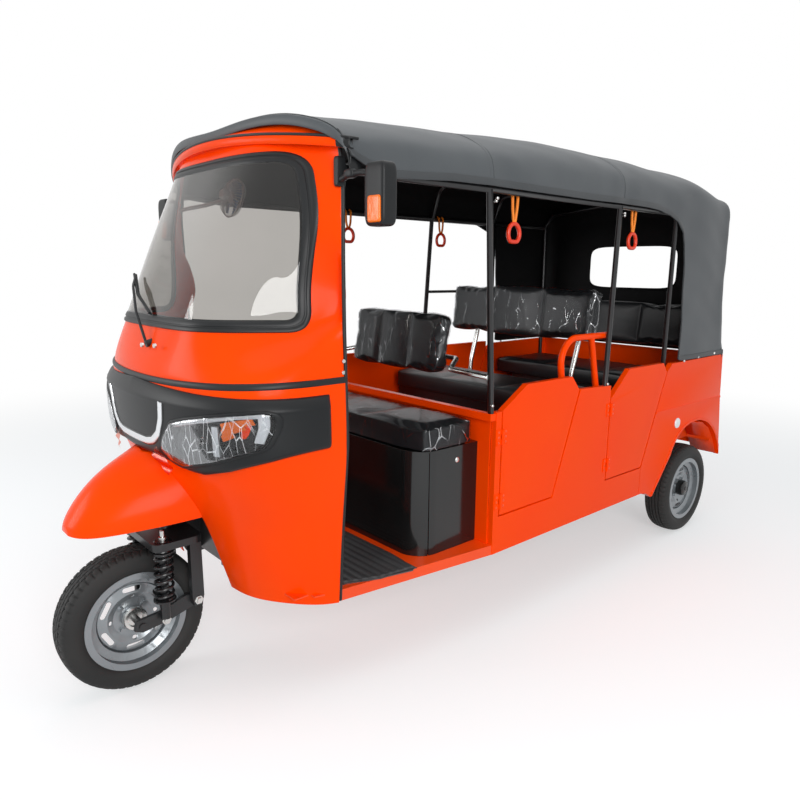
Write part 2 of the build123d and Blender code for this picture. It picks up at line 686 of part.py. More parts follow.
def rim(disc_x, bore):
    """Pressed steel rim with a slotted disc; disc_x is the outboard offset of the disc."""
    lip = FLANGE_X - 3
    half = [(20, 128), (26, BEAD_R), (lip, BEAD_R), (lip, FLANGE_R), (FLANGE_X, FLANGE_R),
            (FLANGE_X, BEAD_R - 4), (30, BEAD_R - 4), (22, 124)]
    barrel = make_face(Polyline(*half, *[(-x, r) for x, r in reversed(half)], close=True))
    wheel = ring(barrel)
    dish = make_face(Polyline(
        (disc_x - 14, 126), (disc_x, 118), (disc_x + 6, 88), (disc_x - 6, 66), (disc_x - 6, 30),
        (disc_x - 11, 30), (disc_x - 11, 67), (disc_x + 1, 89), (disc_x - 5, 116), (disc_x - 19, 126),
        close=True))
    wheel += ring(dish)
    slot = extrude(Plane.YZ * SlotCenterToCenter(44, 17), 200, both=True)
    for turn in range(6):
        wheel -= Rot(60 * turn, 0, 0) * Pos(0, 0, 102) * slot
    for turn in range(4):
        wheel -= Rot(90 * turn, 0, 0) * Pos(0, 0, 76) * extrude(Plane.YZ * Ellipse(8, 6), 200, both=True)
        nut = Plane.YZ * Pos(0, 53, 0) * RegularPolygon(9, 6)
        wheel += Rot(90 * turn + 45, 0, 0) * Pos(disc_x - 8, 0, 0) * extrude(nut, 12)
    wheel += rod((disc_x - 60, 0, 0), (disc_x + 10, 0, 0), HUB_R)
    wheel -= rod((-200, 0, 0), (200, 0, 0), bore)
    return wheel


# ---------------------------------------------------------------- front fork
ARM_X = (84, 98)
PIVOT = (187, 286)          # y, z of the leading arms' pivot
CROWN_Z = (505, 530)
DAMPER_X = 118


def fork():
    """Fork crown with its two legs, the leading arms and the front axle."""
    z0, z1 = CROWN_Z
    crown = box((-150, 150), (35, 205), (z0, z1))
    body = fillet(crown.edges().filter_by(Axis.Z), 30)
    for side in (-1, 1):
        leg_x = side * 112
        profile = [(165, z1 - 5), (205, z1 - 5), (208, 300), (200, 266), (172, 266), (166, 300)]
        leg = panel_yz(profile, -13, 13)
        body += Pos(leg_x, 0, 0) * leg
        arm = panel_yz([(-26, 232), (-18, 264), (60, 272), (150, 302), (205, 304), (212, 280), (196, 262),
                        (90, 232), (0, 220)], ARM_X[0], ARM_X[1])
        body += arm if side > 0 else mirror_x(arm)
    body += rod((-106, 0, TYRE_R), (106, 0, TYRE_R), 12)
    body += rod((-128, PIVOT[0], PIVOT[1]), (-80, PIVOT[0], PIVOT[1]), 10)
    body += rod((128, PIVOT[0], PIVOT[1]), (80, PIVOT[0], PIVOT[1]), 10)
    return body


def steering_column():
    """Stem through the head tube, with the handlebar."""
    stem = rod(on_axis(CROWN_Z[0] + 8), on_axis(1035), STEM_R)
    top = on_axis(1035)
    bar = tube([(-345, top.Y + 70, top.Z + 8), (-190, top.Y + 40, top.Z + 8), (-60, top.Y, top.Z),
                (60, top.Y, top.Z), (190, top.Y + 40, top.Z + 8), (345, top.Y + 70, top.Z + 8)], 11, 60)
    grips = None
    for side in (-1, 1):
        a, b = (side * 230, top.Y + 48, top.Z + 8), (side * 345, top.Y + 70, top.Z + 8)
        grip = rod(a, b, 17)
        grips = grip if grips is None else grips + grip
    return stem + bar + grips


SPRING_Z = (324, 494)
SPRING_R = 33
SPRING_TURNS = 7


def front_dampers():
    """Spring dampers from the leading arms to the crown; each coil spring is a stack of ridges."""
    low, high = (DAMPER_X, 71, 252), (DAMPER_X, 76, 566)
    damper = rod(low, high, 11)
    z0, z1 = SPRING_Z
    pitch = (z1 - z0) / SPRING_TURNS
    coils = [(z0, 9)]
    for turn in range(SPRING_TURNS):
        z = z0 + turn * pitch
        coils += [(z, 24), (z + pitch * 0.3, SPRING_R), (z + pitch * 0.7, SPRING_R)]
    coils += [(z1, 24), (z1, 9)]
    damper += Pos(DAMPER_X, 73.5, 0) * Rot(0, -90, 0) * ring(make_face(Polyline(*coils, close=True)))
    damper += rod((DAMPER_X, 75, 512), (DAMPER_X, 75, 524), 26)
    damper += rod((96.5, 71, 252), (DAMPER_X + 16, 71, 252), 15)
    return both(damper)


# ---------------------------------------------------------------- doors and hinges
PIN_X = BODY_X + 6
PIN_R = 3
KNUCKLE_R = 6
HINGE_H = 60


def hinge_zs(z):
    """Heights of the five knuckle joints of one hinge centred at z."""
    third = HINGE_H / 3
    return [(z - third * 1.5, z - third * 0.5), (z - third * 0.5, z + third * 0.5),
            (z + third * 0.5, z + third * 1.5)]


def body_leaf(pin_y, z):
    """Fixed half of a hinge: plate, outer knuckles and the pin."""
    low, middle, high = hinge_zs(z)
    leaf = box((BODY_X, BODY_X + 3), (pin_y - 30, pin_y - 7.5), (z - HINGE_H / 2, z + HINGE_H / 2))
    for z0, z1 in (low, high):
        leaf += rod((PIN_X, pin_y, z0), (PIN_X, pin_y, z1), KNUCKLE_R)
        leaf += box((BODY_X, BODY_X + 3), (pin_y - 8, pin_y), (z0, z1))
    leaf += rod((PIN_X, pin_y, low[0]), (PIN_X, pin_y, high[1]), PIN_R)
    return leaf


def door_leaf(pin_y, z):
    """Moving half of a hinge: plate and middle knuckle, bored for the pin."""
    low, middle, high = hinge_zs(z)
    z0, z1 = middle[0] + 0.5, middle[1] - 0.5
    leaf = box((BODY_X, BODY_X + 3), (pin_y + 8, pin_y + 31), (z - HINGE_H / 2, z + HINGE_H / 2))
    leaf += rod((PIN_X, pin_y, z0), (PIN_X, pin_y, z1), KNUCKLE_R)
    leaf += box((BODY_X, BODY_X + 3), (pin_y, pin_y + 9), (z0, z1))
    leaf -= rod((PIN_X, pin_y, z0 - 1), (PIN_X, pin_y, z1 + 1), PIN_R + 0.05)
    return leaf


DOORS = {
    "door_front_left": (DOOR1, 1196.5, (544, 799)),
    "door_rear_left": (DOOR2, 1946.5, (548, 805)),
}


def door(outline, pin_y, hinges):
    panel = panel_yz(outline, *LEFT_X)
    for z in hinges:
        panel += door_leaf(pin_y, z)
    return panel


# ---------------------------------------------------------------- write the nodes
panel_left = side_panel_left()
for _, pin_y, hinges in DOORS.values():
    for z in hinges:
        panel_left += body_leaf(pin_y, z)

shapes = {
    "chassis_frame": chassis_frame(),
    "wheel_well": wheel_well(),
    "floor_pan": floor_pan(),
    "floor_mat": floor_mat(),
    "cowl_lower": cowl_lower(),
    "cowl_upper": cowl_upper(),
    "roof_cap": roof_cap(),
    "windscreen_glass": windscreen_glass(),
    "windscreen_seal": windscreen_seal(),
    "belt_trim": belt_trim(),
    "fascia": fascia(),
    "headlamps": headlamps(),
    "front_fender": front_fender(),
    "side_panel_left": panel_left,
    "side_panel_right": side_panel_right(),
    "quarter_left": quarter(1),
    "quarter_right": quarter(-1),
    "tail_panel": tail_panel(),
    "tail_lamps": tail_lamps(),
    "bulkhead": bulkhead(),
    "seat_base": seat_base(),
    "driver_cushion": driver_cushion(),
    "driver_backrest": driver_backrest(),
    "bench_bases": bench_bases(),
    "bench_cushions": bench_cushions(),
    "bench_backrests": bench_backrests(),
    "backrest_frames": backrest_frames(),
    "canopy": canopy(),
    "canopy_frame": canopy_frame(),
    "grab_tube": grab_tube(),
    "hand_grips": hand_grips(),
    "mirrors": mirrors(),
    "wiper": wiper(),
    "cabin_fan": cabin_fan(),
    "engine": engine(),
    "rear_axle": rear_axle(),
    "fork": fork(),
    "steering_column": steering_column(),
    "front_dampers": front_dampers(),
    "front_rim": Pos(0, 0, TYRE_R) * rim(14, 12.05),
    "front_tyre": Pos(0, 0, TYRE_R) * tyre(),
}
for side, name in ((1, "left"), (-1, "right")):
    place = Pos(side * REAR_X, WHEELBASE, TYRE_R)
    wheel = rim(20, AXLE_R)
    shapes[f"rear_rim_{name}"] = place * (wheel if side > 0 else mirror_x(wheel))
    shapes[f"rear_tyre_{name}"] = place * tyre()
for name, (outline, pin_y, hinges) in DOORS.items():
    shapes[name] = door(outline, pin_y, hinges)

# pieces that are cut to fit round the piece that passes through or behind them
FITTED = {
    "canopy_frame": ["side_panel_left", "side_panel_right", "bulkhead", "canopy"],
    "belt_trim": ["cowl_lower", "cowl_upper"],
    "roof_cap": ["canopy"],
    "headlamps": ["fascia"],
    "floor_pan": ["canopy_frame", "cowl_lower", "chassis_frame"],
    "floor_mat": ["cowl_lower", "seat_base"],
    "chassis_frame": ["cowl_lower", "wheel_well"],
    "backrest_frames": ["canopy_frame", "bench_bases", "bench_backrests", "driver_backrest"],
    "mirrors": ["cowl_upper"],
    "wiper": ["cowl_upper", "cowl_lower", "belt_trim"],
    "front_fender": ["fascia"],
    "fork": ["front_dampers"],
    "steering_column": ["fork"],
    "cabin_fan": ["cowl_upper"],
    "tail_lamps": ["tail_panel"],
    "bench_cushions": ["canopy_frame"],
    "hand_grips": ["canopy_frame"],
}
for name, others in FITTED.items():
    for other in others:
        shapes[name] = shapes[name] - shapes[other]

for name, shape in shapes.items():
    save(shape, name)
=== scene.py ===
"""The looks of a three-wheeled passenger auto rickshaw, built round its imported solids.

Sizes are in millimetres from the front axle's line on the ground, and metre() takes them to the
part's own frame. -Y is forward and +X is the vehicle's left side.
"""
import json
from math import cos, pi, radians, sin

import bmesh
import bpy
import numpy as np
from mathutils import Matrix, Vector


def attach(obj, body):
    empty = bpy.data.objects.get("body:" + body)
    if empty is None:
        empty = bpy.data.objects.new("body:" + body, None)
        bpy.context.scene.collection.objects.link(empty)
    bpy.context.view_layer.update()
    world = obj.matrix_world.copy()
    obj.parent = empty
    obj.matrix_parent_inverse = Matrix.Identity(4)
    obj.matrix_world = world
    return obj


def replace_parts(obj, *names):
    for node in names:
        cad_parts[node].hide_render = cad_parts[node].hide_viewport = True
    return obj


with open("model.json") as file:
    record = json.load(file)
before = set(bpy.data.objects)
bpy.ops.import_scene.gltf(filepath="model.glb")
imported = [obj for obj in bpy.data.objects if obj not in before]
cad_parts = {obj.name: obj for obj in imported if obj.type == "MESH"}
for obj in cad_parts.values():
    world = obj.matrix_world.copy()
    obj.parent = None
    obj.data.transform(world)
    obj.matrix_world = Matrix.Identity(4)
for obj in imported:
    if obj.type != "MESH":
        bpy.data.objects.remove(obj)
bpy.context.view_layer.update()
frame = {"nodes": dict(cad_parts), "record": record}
nodes = frame["nodes"]


# ---------------------------------------------------------------- camera
# A plain studio view from the front left corner, a little above the seats.
def put(name, data):
    """A new object of the scene."""
    thing = bpy.data.objects.new(name, data)
    bpy.context.scene.collection.objects.link(thing)
    return thing


def aim_camera():
    """Sets the camera from its place, azimuth, downward angle and roll."""
    place_m = (2.17723, -2.16476, 1.41191)
    azimuth, down, roll = radians(48.43), radians(11.01), radians(0.56)
    back = Vector((sin(azimuth) * cos(down), -cos(azimuth) * cos(down), sin(down)))
    level = (-back).cross(Vector((0, 0, 1))).normalized()
    upright = level.cross(-back)
    right = cos(roll) * level + sin(roll) * upright
    up = cos(roll) * upright - sin(roll) * level
    camera = put("camera", bpy.data.cameras.new("camera"))
    camera.data.lens, camera.data.sensor_width = 29.992, 36.0
    camera.data.clip_start, camera.data.clip_end = 0.05, 100.0
    camera.matrix_world = Matrix.Translation(place_m) @ Matrix((right, up, back)).transposed().to_4x4()
    bpy.context.scene.camera = camera


aim_camera()


# ---------------------------------------------------------------- studio
# A pale floor that fades into a white surround, a soft lamp overhead and two at the sides.
FLOOR_GREY, FLOOR_LIFT = (0.62, 0.64, 0.65, 1), 0.46
DAYLIGHT, WHITE = (0.96, 0.98, 1.0, 1), (1, 1, 1, 1)


def wire(tree, kinds, values, links):
    """Adds nodes by name, sets their values and links them, all written in words.

    A value's key is "node.socket" or "node:property". Links are "node.socket > node.socket" with
    commas between them. A socket is a name or a number, and a kind may be a node the tree has.
    """
    made = {name: tree.nodes.new("ShaderNode" + kind) if isinstance(kind, str) else kind
            for name, kind in kinds.items()}

    def socket(words, ends):
        """The socket that "node.socket" names, among the inputs or the outputs."""
        name, place = words.strip().split(".")
        return getattr(made[name], ends)[int(place) if place.isdigit() else place]

    for key, value in values.items():
        if ":" in key:
            name, setting = key.split(":")
            setattr(made[name], setting, value)
        else:
            socket(key, "inputs").default_value = value
    for link in links.split(","):
        source, target = link.split(">")
        tree.links.new(socket(source, "outputs"), socket(target, "inputs"))
    return made


def seen_rays(tree):
    """One where a camera, glossy or transmission ray asks, and nought for light on the object."""
    return wire(tree, {"path": "LightPath", "first": "Math", "second": "Math"},
                {"first:operation": "MAXIMUM", "second:operation": "MAXIMUM"},
                "path.Is Camera Ray > first.0, path.Is Glossy Ray > first.1, first.0 > second.0,"
                "path.Is Transmission Ray > second.1")["second"]


def surround(ambient):
    """A world that looks white and lights the object with a plain ambient level."""
    world = bpy.data.worlds.new("surround")
    world.use_nodes = True
    tree = world.node_tree
    tree.nodes.clear()
    wire(tree, {"seen": seen_rays(tree), "lit": "Background", "shown": "Background", "both": "MixShader",
                "out": "OutputWorld"},
         {"lit.Color": DAYLIGHT, "lit.Strength": ambient, "shown.Color": WHITE},
         "seen.0 > both.0, lit.0 > both.1, shown.0 > both.2, both.0 > out.0")
    bpy.context.scene.world = world


def node_material(name):
    """A new material with nodes, and its tree."""
    material = bpy.data.materials.new(name)
    material.use_nodes = True
    return material, material.node_tree


def studio_floor(size, near, far):
    """A pale floor whose look goes over to plain white between two distances from the vehicle."""
    material, tree = node_material("studio_floor")
    tree.nodes.clear()
    wire(tree, {"seen": seen_rays(tree), "spot": "TexCoord", "length": "VectorMath", "fade": "MapRange",
                "share": "Math", "matt": "BsdfDiffuse", "white": "Emission", "lift": "Math",
                "glow": "Emission", "lifted": "AddShader", "both": "MixShader", "out": "OutputMaterial"},
         {"length:operation": "LENGTH", "fade:interpolation_type": "SMOOTHSTEP", "fade.From Min": near,
          "fade.From Max": far, "share:operation": "MULTIPLY", "matt.Color": FLOOR_GREY,
          "lift:operation": "MULTIPLY", "lift.1": FLOOR_LIFT},
         "spot.Object > length.0, length.Value > fade.Value, fade.Result > share.0, seen.0 > share.1,"
         "seen.0 > lift.0, lift.0 > glow.Strength, matt.0 > lifted.0, glow.0 > lifted.1,"
         "share.0 > both.0, lifted.0 > both.1, white.0 > both.2, both.0 > out.Surface")
    mesh = bpy.data.meshes.new("studio_floor")
    corners = [(-size, -size, 0), (size, -size, 0), (size, size, 0), (-size, size, 0)]
    mesh.from_pydata(corners, [], [(0, 1, 2, 3)])
    mesh.materials.append(material)
    put("studio_floor", mesh)


surround(0.42)
studio_floor(60, 2.6, 6.5)
for name, place_m, target, size_m, watts in (
        ("overhead", (0.4, -0.2, 5.2), (0, 0.1, 0.8), 4.5, 70),
        ("front_left", (5.4, -3.2, 2.6), (0, -0.2, 0.9), 3.0, 230),
        ("front_right", (-2.8, -5.4, 2.2), (0, -1.0, 0.9), 2.4, 90)):
    lamp = put(name, bpy.data.lights.new(name, "AREA"))
    lamp.data.size, lamp.data.energy, lamp.location = size_m, watts, place_m
    lamp.rotation_euler = (Vector(target) - Vector(place_m)).to_track_quat("-Z", "Y").to_euler()
bpy.context.scene.view_settings.view_transform = "Standard"


# ---------------------------------------------------------------- painted steel body
# Pressed steel panels with rolled edges, spot-welded together and sprayed a glossy orange.
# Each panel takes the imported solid's shape with its edges rounded; the front skin is drawn afresh.
AXLE_TO_ORIGIN = (0, 1453, 0)


def surface_detail_group():
    """Fine grain and soft waves of a made surface, with a tone that drifts over it from 0 to 1."""
    group = bpy.data.node_groups.new("surface_detail", "ShaderNodeTree")
    for name, value in (("Grain Scale", 800.0), ("Grain", 0.3), ("Wave Scale", 6.0), ("Wave", 0.1)):
        group.interface.new_socket(name, in_out="INPUT", socket_type="NodeSocketFloat").default_value = value
    for name, kind in (("Tone", "Float"), ("Normal", "Vector")):
        group.interface.new_socket(name, in_out="OUTPUT", socket_type="NodeSocket" + kind)
    wire(group, {"begin": group.nodes.new("NodeGroupInput"), "end": group.nodes.new("NodeGroupOutput"),
                 "spot": "TexCoord", "fine": "TexNoise", "broad": "TexNoise", "tone": "TexNoise",
                 "first": "Bump", "second": "Bump"},
         {"first.Distance": 0.0004, "second.Distance": 0.01, "fine.Detail": 3, "tone.Scale": 3.1,
          "tone.Detail": 5},
         "spot.Object > fine.Vector, spot.Object > broad.Vector, spot.Object > tone.Vector,"
         "begin.Grain Scale > fine.Scale, begin.Wave Scale > broad.Scale, fine.0 > first.Height,"
         "begin.Grain > first.Strength, broad.0 > second.Height, begin.Wave > second.Strength,"
         "first.0 > second.Normal, tone.0 > end.Tone, second.0 > end.Normal")
    return group


SURFACE_DETAIL = surface_detail_group()


def made_surface(name, colour, second, rough, grain=(900, 0.2), wave=(5, 0.0), **sockets):
    """A finish whose colour drifts between two tones and whose roughness drifts between two values.

    grain and wave are (scale, strength) pairs, and sockets are plain values of the shader.
    """
    material, tree = node_material(name)
    detail, ramp = tree.nodes.new("ShaderNodeGroup"), tree.nodes.new("ShaderNodeValToRGB")
    detail.node_tree = SURFACE_DETAIL
    for stop, place, tint in zip(ramp.color_ramp.elements, (0.35, 0.65), (colour, second)):
        stop.position, stop.color = place, (*tint, 1)
    wire(tree, {"shader": tree.nodes["Principled BSDF"], "detail": detail, "ramp": ramp, "shine": "MapRange"},
         {"detail.Grain Scale": grain[0], "detail.Grain": grain[1], "detail.Wave Scale": wave[0],
          "detail.Wave": wave[1], "shine.To Min": rough[0], "shine.To Max": rough[1],
          **{"shader." + word.replace("_", " "): value for word, value in sockets.items()}},
         "detail.Tone > ramp.Fac, ramp.Color > shader.Base Color, detail.Tone > shine.Value,"
         "shine.0 > shader.Roughness, detail.Normal > shader.Normal")
    return material


def metre(points):
    """Millimetres from the front axle's line to metres in the part's frame."""
    return (np.asarray(points, float) - AXLE_TO_ORIGIN) / 1000


def finished(mesh, finish, angle=None):
    """Gives a mesh one finish and smooth shading, sharp where it turns by more than angle degrees."""
    mesh.polygons.foreach_set("use_smooth", np.ones(len(mesh.polygons), bool))
    if angle:
        mesh.set_sharp_from_angle(angle=radians(angle))
    mesh.materials.clear()
    mesh.materials.append(finish)
    return mesh


def mesh_piece(name, points, faces, finish, body="vehicle", angle=35):
    """An object from an array of points in millimetres and one of equal faces, riding a body."""
    mesh = bpy.data.meshes.new(name)
    mesh.from_pydata(metre(points).tolist(), [], faces.tolist())
    mesh.validate()
    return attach(put(name, finished(mesh, finish, angle)), body)


def quads(rows, columns, closed_rows=False, closed_columns=False, start=0):
    """Quad corners of a grid whose point (i, j) has the index i * columns + j."""
    i, j = np.meshgrid(np.arange(rows if closed_rows else rows - 1),
                       np.arange(columns if closed_columns else columns - 1), indexing="ij")
    i, j = i.ravel(), j.ravel()
    k, m = (i + 1) % rows, (j + 1) % columns
    return np.stack([i * columns + j, i * columns + m, k * columns + m, k * columns + j], axis=1) + start


def shell(points, flip=False, **closed):
    """A grid of points as a list of points and its quads; flip turns the faces round."""
    faces = quads(*points.shape[:2], **closed)
    return points.reshape(-1, 3), faces[:, ::-1] if flip else faces


def rounded(piece, width, angle=40):
    """Rounds the edges of a piece that turn by more than angle degrees."""
    bevel = piece.modifiers.new("rounded", "BEVEL")
    bevel.width, bevel.segments, bevel.limit_method = width / 1000, 2, "ANGLE"
    bevel.angle_limit = radians(angle)
    return piece


def thick(piece, depth, offset=-1.0):
    """Gives a sheet its thickness in millimetres; offset -1 keeps the outer side where it is."""
    solid = piece.modifiers.new("thick", "SOLIDIFY")
    solid.thickness, solid.offset = depth / 1000, offset
    return piece


def welded(node, flatten):
    """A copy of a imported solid's mesh with its loose triangles joined, and flat areas as one face."""
    mesh, work = nodes[node].data.copy(), bmesh.new()
    work.from_mesh(mesh)
    bmesh.ops.remove_doubles(work, verts=work.verts, dist=2e-5)
    if flatten:
        bmesh.ops.dissolve_limit(work, angle_limit=radians(0.6), verts=work.verts, edges=work.edges)
    else:
        bmesh.ops.recalc_face_normals(work, faces=work.faces)
    work.to_mesh(mesh)
    work.free()
    return mesh


def dressed(node, finish, width=2.0, body="vehicle", angle=40):
    """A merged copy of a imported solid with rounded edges, in place of the solid itself."""
    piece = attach(put(node + "_skin", finished(welded(node, True), finish, angle)), body)
    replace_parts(piece, node)
    return rounded(piece, width, angle) if width else piece


PAINT = made_surface("orange_paint", (1.0, 0.058, 0.0), (1.0, 0.066, 0.0), (0.2, 0.27), (260, 0.02),
                     (2.5, 0.02), Specular_IOR_Level=0.3, IOR=1.22, Coat_Weight=0.05, Coat_Roughness=0.03,
                     Coat_IOR=1.3)
for node in ("side_panel_left", "side_panel_right", "quarter_left", "quarter_right", "tail_panel", "bulkhead",
             "front_fender"):
    dressed(node, PAINT, 1.6)
for door in ("front", "rear"):
    dressed(f"door_{door}_left", PAINT, 3.0, f"door_{door}")


# ---------------------------------------------------------------- front skin
# Two pressed steel skins, one below the belt and one round the windscreen, welded to the pillars
# and sprayed. Both follow one surface, drawn through level sections of the nose.
PILLAR, BELT_Z, WELL_TOP = 493, 1077, 612
BROW_Y, BROW_SWEEP, BROW_HALF, BROW_LOW, BROW_RISE = 338, 155, 598, 1752, 44
BOW_SHARES = (0.0, 0.36, 0.52, 0.65, 0.77, 0.88, 0.965, 1.0)
BOW_ROWS = [  # height, half width at the pillar, distance behind the axle at each share of it
    (333, 525, (272, 279, 288, 312, 352, 400, 455)), (480, 534, (222, 232, 250, 278, 318, 370, 430)),
    (612, 545, (172, 184, 205, 236, 280, 338, 408)), (740, 558, (112, 126, 146, 174, 214, 272, 350)),
    (850, 568, (83, 97, 115, 139, 173, 223, 304)), (980, 567, (74, 88, 106, 130, 163, 213, 293)),
    (1091, 563, (71, 85, 103, 128, 163, 216, 298)), (1222, 557, (118, 125, 147, 199, 286, 387, 461)),
    (1500, 554, (231, 239, 261, 305, 369, 437, 480)), (1735, 549, (335, 343, 363, 398, 440, 474, 489)),
    (1790, 543, (357, 365, 384, 416, 453, 480, 491)),
]


def natural_spline(at, values, where):
    """A natural cubic through values at the places at, read at where.

    The second derivatives solve the usual three-band system with noughts at both ends.
    """
    at, values, where = (np.asarray(part, float) for part in (at, values, where))
    step = np.diff(at)
    bands = np.diag(np.r_[1, 2 * (step[:-1] + step[1:]), 1])
    bands += np.diag(np.r_[step[:-1], 0], -1) + np.diag(np.r_[0, step[1:]], 1)
    slope = np.diff(values, axis=0) / step[:, None]
    second = np.linalg.solve(bands, np.vstack([slope[:1] * 0, 6 * np.diff(slope, axis=0), slope[:1] * 0]))
    k = np.clip(np.searchsorted(at, where) - 1, 0, len(step) - 1)
    t, h = (where - at[k])[:, None], step[k][:, None]
    first = (values[k + 1] - values[k]) / h - h * (2 * second[k] + second[k + 1]) / 6
    return values[k] + t * first + t ** 2 * second[k] / 2 + t ** 3 * (second[k + 1] - second[k]) / (6 * h)


def run_of(path):
    """The length along a path up to each of its points."""
    return np.r_[0, np.cumsum(np.linalg.norm(np.diff(path, axis=0), axis=1))]


def read_along(path, where):
    """Points of a path at given lengths along it."""
    return np.stack([np.interp(where, run_of(path), part) for part in path.T], axis=1)


def evenly(path, count, endpoint=True):
    """A path resampled at count even steps of its length."""
    return read_along(path, np.linspace(0, run_of(path)[-1], count, endpoint=endpoint))


def between(table, i, j):
    """Reads a table between its rows and columns, at fractional places i and j, in straight lines."""
    i, j = np.clip(i, 0, table.shape[0] - 1.001), np.clip(j, 0, table.shape[1] - 1.001)
    i0, j0 = i.astype(int), j.astype(int)
    a, b = (i - i0)[..., None], (j - j0)[..., None]
    return ((1 - a) * (1 - b) * table[i0, j0] + (1 - a) * b * table[i0, j0 + 1]
            + a * (1 - b) * table[i0 + 1, j0] + a * b * table[i0 + 1, j0 + 1])


BOW_STEP, BOW_COUNT = 4.0, 241
BOW_Z = np.arange(330, 1793, BOW_STEP)


def bow_table():
    """Points (x, y) of every level section, evenly spaced along each from right pillar to left."""
    rows = np.array([[z, half, *depths, PILLAR] for z, half, depths in BOW_ROWS], float)
    sampled = natural_spline(rows[:, 0], rows[:, 1:], BOW_Z)
    shares = np.r_[-np.array(BOW_SHARES[:0:-1]), BOW_SHARES]
    table = np.zeros((len(BOW_Z), BOW_COUNT, 2))
    for row, (half, *depths) in enumerate(sampled):
        knots = np.stack([shares * half, np.r_[depths[:0:-1], depths]], axis=1)
        run = run_of(knots)
        table[row] = evenly(natural_spline(run, knots, np.linspace(0, run[-1], 6 * BOW_COUNT)), BOW_COUNT)
    return table, sampled[:, 0], sampled[:, 1]


BOW, BOW_HALF, BOW_NOSE = bow_table()


def front(s, z, grow=0.0):
    """Points of the nose: s runs from -1 at the right pillar to 1 at the left, z is the height.

    The table of level sections is read between its rows and columns, then moved out by grow.
    """
    s, z, grow = np.broadcast_arrays(*(np.asarray(part, float) for part in (s, z, grow)))
    flat = between(BOW, (z - BOW_Z[0]) / BOW_STEP, (s + 1) * (BOW_COUNT // 2))
    half, tip = np.interp(z, BOW_Z, BOW_HALF), np.interp(z, BOW_Z, BOW_NOSE)
    x = flat[..., 0] * (1 + grow / half)
    y = flat[..., 1] - grow * (PILLAR - flat[..., 1]) / (PILLAR - tip)
    return np.stack([x, y, z], axis=-1)


def share_at(value, z, axis):
    """The share s, 0 to 1, at which the left half of a section reaches value along x or y."""
    s = np.linspace(0, 1, 241)
    pairs = np.broadcast_arrays(np.atleast_1d(value).astype(float), np.atleast_1d(z).astype(float))
    return np.array([np.interp(v, front(s, h)[:, axis], s) for v, h in zip(*pairs)])


def lower_skin():
    """The skin from the sill to the belt: a grid of heights and shares, open for the front wheel."""
    heights = np.unique(np.r_[np.linspace(BOW_ROWS[0][0], WELL_TOP, 60), np.linspace(WELL_TOP, BELT_Z, 90)])
    inner = share_at(195, np.minimum(heights, WELL_TOP), 0)[:, None]
    side = 1 - (1 - inner) * np.linspace(0, 1, 70)
    s = np.hstack([side, inner * np.linspace(1, -1, 50)[1:-1], -side[:, ::-1]])
    points, faces = shell(front(s, heights[:, None]))
    row, column = faces[:, 0] // s.shape[1], faces[:, 0] % s.shape[1]
    well = (heights[row] < WELL_TOP) & (column >= 69) & (column < s.shape[1] - 70)
    return points, faces[~well]


SCREEN_LOW, SCREEN_HIGH = (412, 1240), (447, 1747)     # y, z of the opening's rear edge, foot and top


def window_half(g):
    """Shares and heights of the left half of the screen's outline, grown by g, from bottom to top.

    In side view the rear edge leans back and its two corners are rounded by 60 + g, each by the
    curve of second degree between its ends.
    """
    radius = 60 + g
    low, high = np.array(SCREEN_LOW, float) + (g, -g), np.array(SCREEN_HIGH, float) + (g, g)
    lean = (high - low) / np.linalg.norm(high - low)
    turn = np.linspace(0, 1, 13)[:, None]

    def corner(start, bend, end):
        """The curve of second degree from start to end, drawn towards bend."""
        return (1 - turn) ** 2 * start + 2 * turn * (1 - turn) * bend + turn ** 2 * end

    foot, head = low + lean * radius, high - lean * radius
    path = np.vstack([corner(low - (radius, 0), low, foot),
                      foot + (head - foot) * np.linspace(0, 1, 62)[1:-1, None],
                      corner(head, high, high - (radius, 0))])
    shares = share_at(path[:, 0], path[:, 1], 1)
    ease = np.linspace(0, 1, 41)
    s = np.r_[shares[0] * ease[:-1], shares, shares[-1] * ease[::-1][1:]]
    z = np.r_[np.full(40, path[0, 1]), path[:, 1], np.full(40, path[-1, 1])]
    return s, z


def screen_loop(g):
    """Shares and heights of the whole outline of the screen, grown by g, once round."""
    s, z = window_half(g)
    return np.r_[s, -s[::-1][1:-1]], np.r_[z, z[::-1][1:-1]]


def upper_skin():
    """The screen's surround: rings that go from the screen's outline to the skin's own edges.

    Its top edge rises with the square of the share behind the roof's arched lip.
    """
    s, z = screen_loop(0)
    low, high, bend = BELT_Z, 1772, np.linspace(0, 1, 13)
    out_s = np.r_[np.linspace(0, 0.93, 41)[:-1], np.clip(0.93 + 0.14 * bend, 0, 1), np.ones(60),
                  np.clip(1.07 - 0.14 * bend, 0, 1), np.linspace(0.93, 0, 41)[1:]]
    out_z = np.r_[np.full(40, low), low + np.clip(2 * bend - 1, 0, 1) * 90,
                  np.linspace(low + 90, high - 40, 62)[1:-1],
                  high - 40 + np.clip(2 * bend, 0, 1) * 40, np.full(40, high)]
    arch = BROW_LOW + 4 + BROW_RISE * (1 - (front(out_s, high)[:, 0] / BROW_HALF) ** 2)
    out_z = np.where(out_z > high - 1, np.maximum(out_z, arch), out_z)
    outer_s, outer_z = np.r_[out_s, -out_s[::-1][1:-1]], np.r_[out_z, out_z[::-1][1:-1]]
    w = np.linspace(0, 1, 16)[:, None]
    return shell(front((1 - w) * s + w * outer_s, (1 - w) * z + w * outer_z), flip=True, closed_columns=True)


for name, shape, node in (("lower_front_skin", lower_skin(), "cowl_lower"),
                          ("upper_front_skin", upper_skin(), "cowl_upper")):
    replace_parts(rounded(thick(mesh_piece(name, *shape, PAINT), 4), 1.2), node)


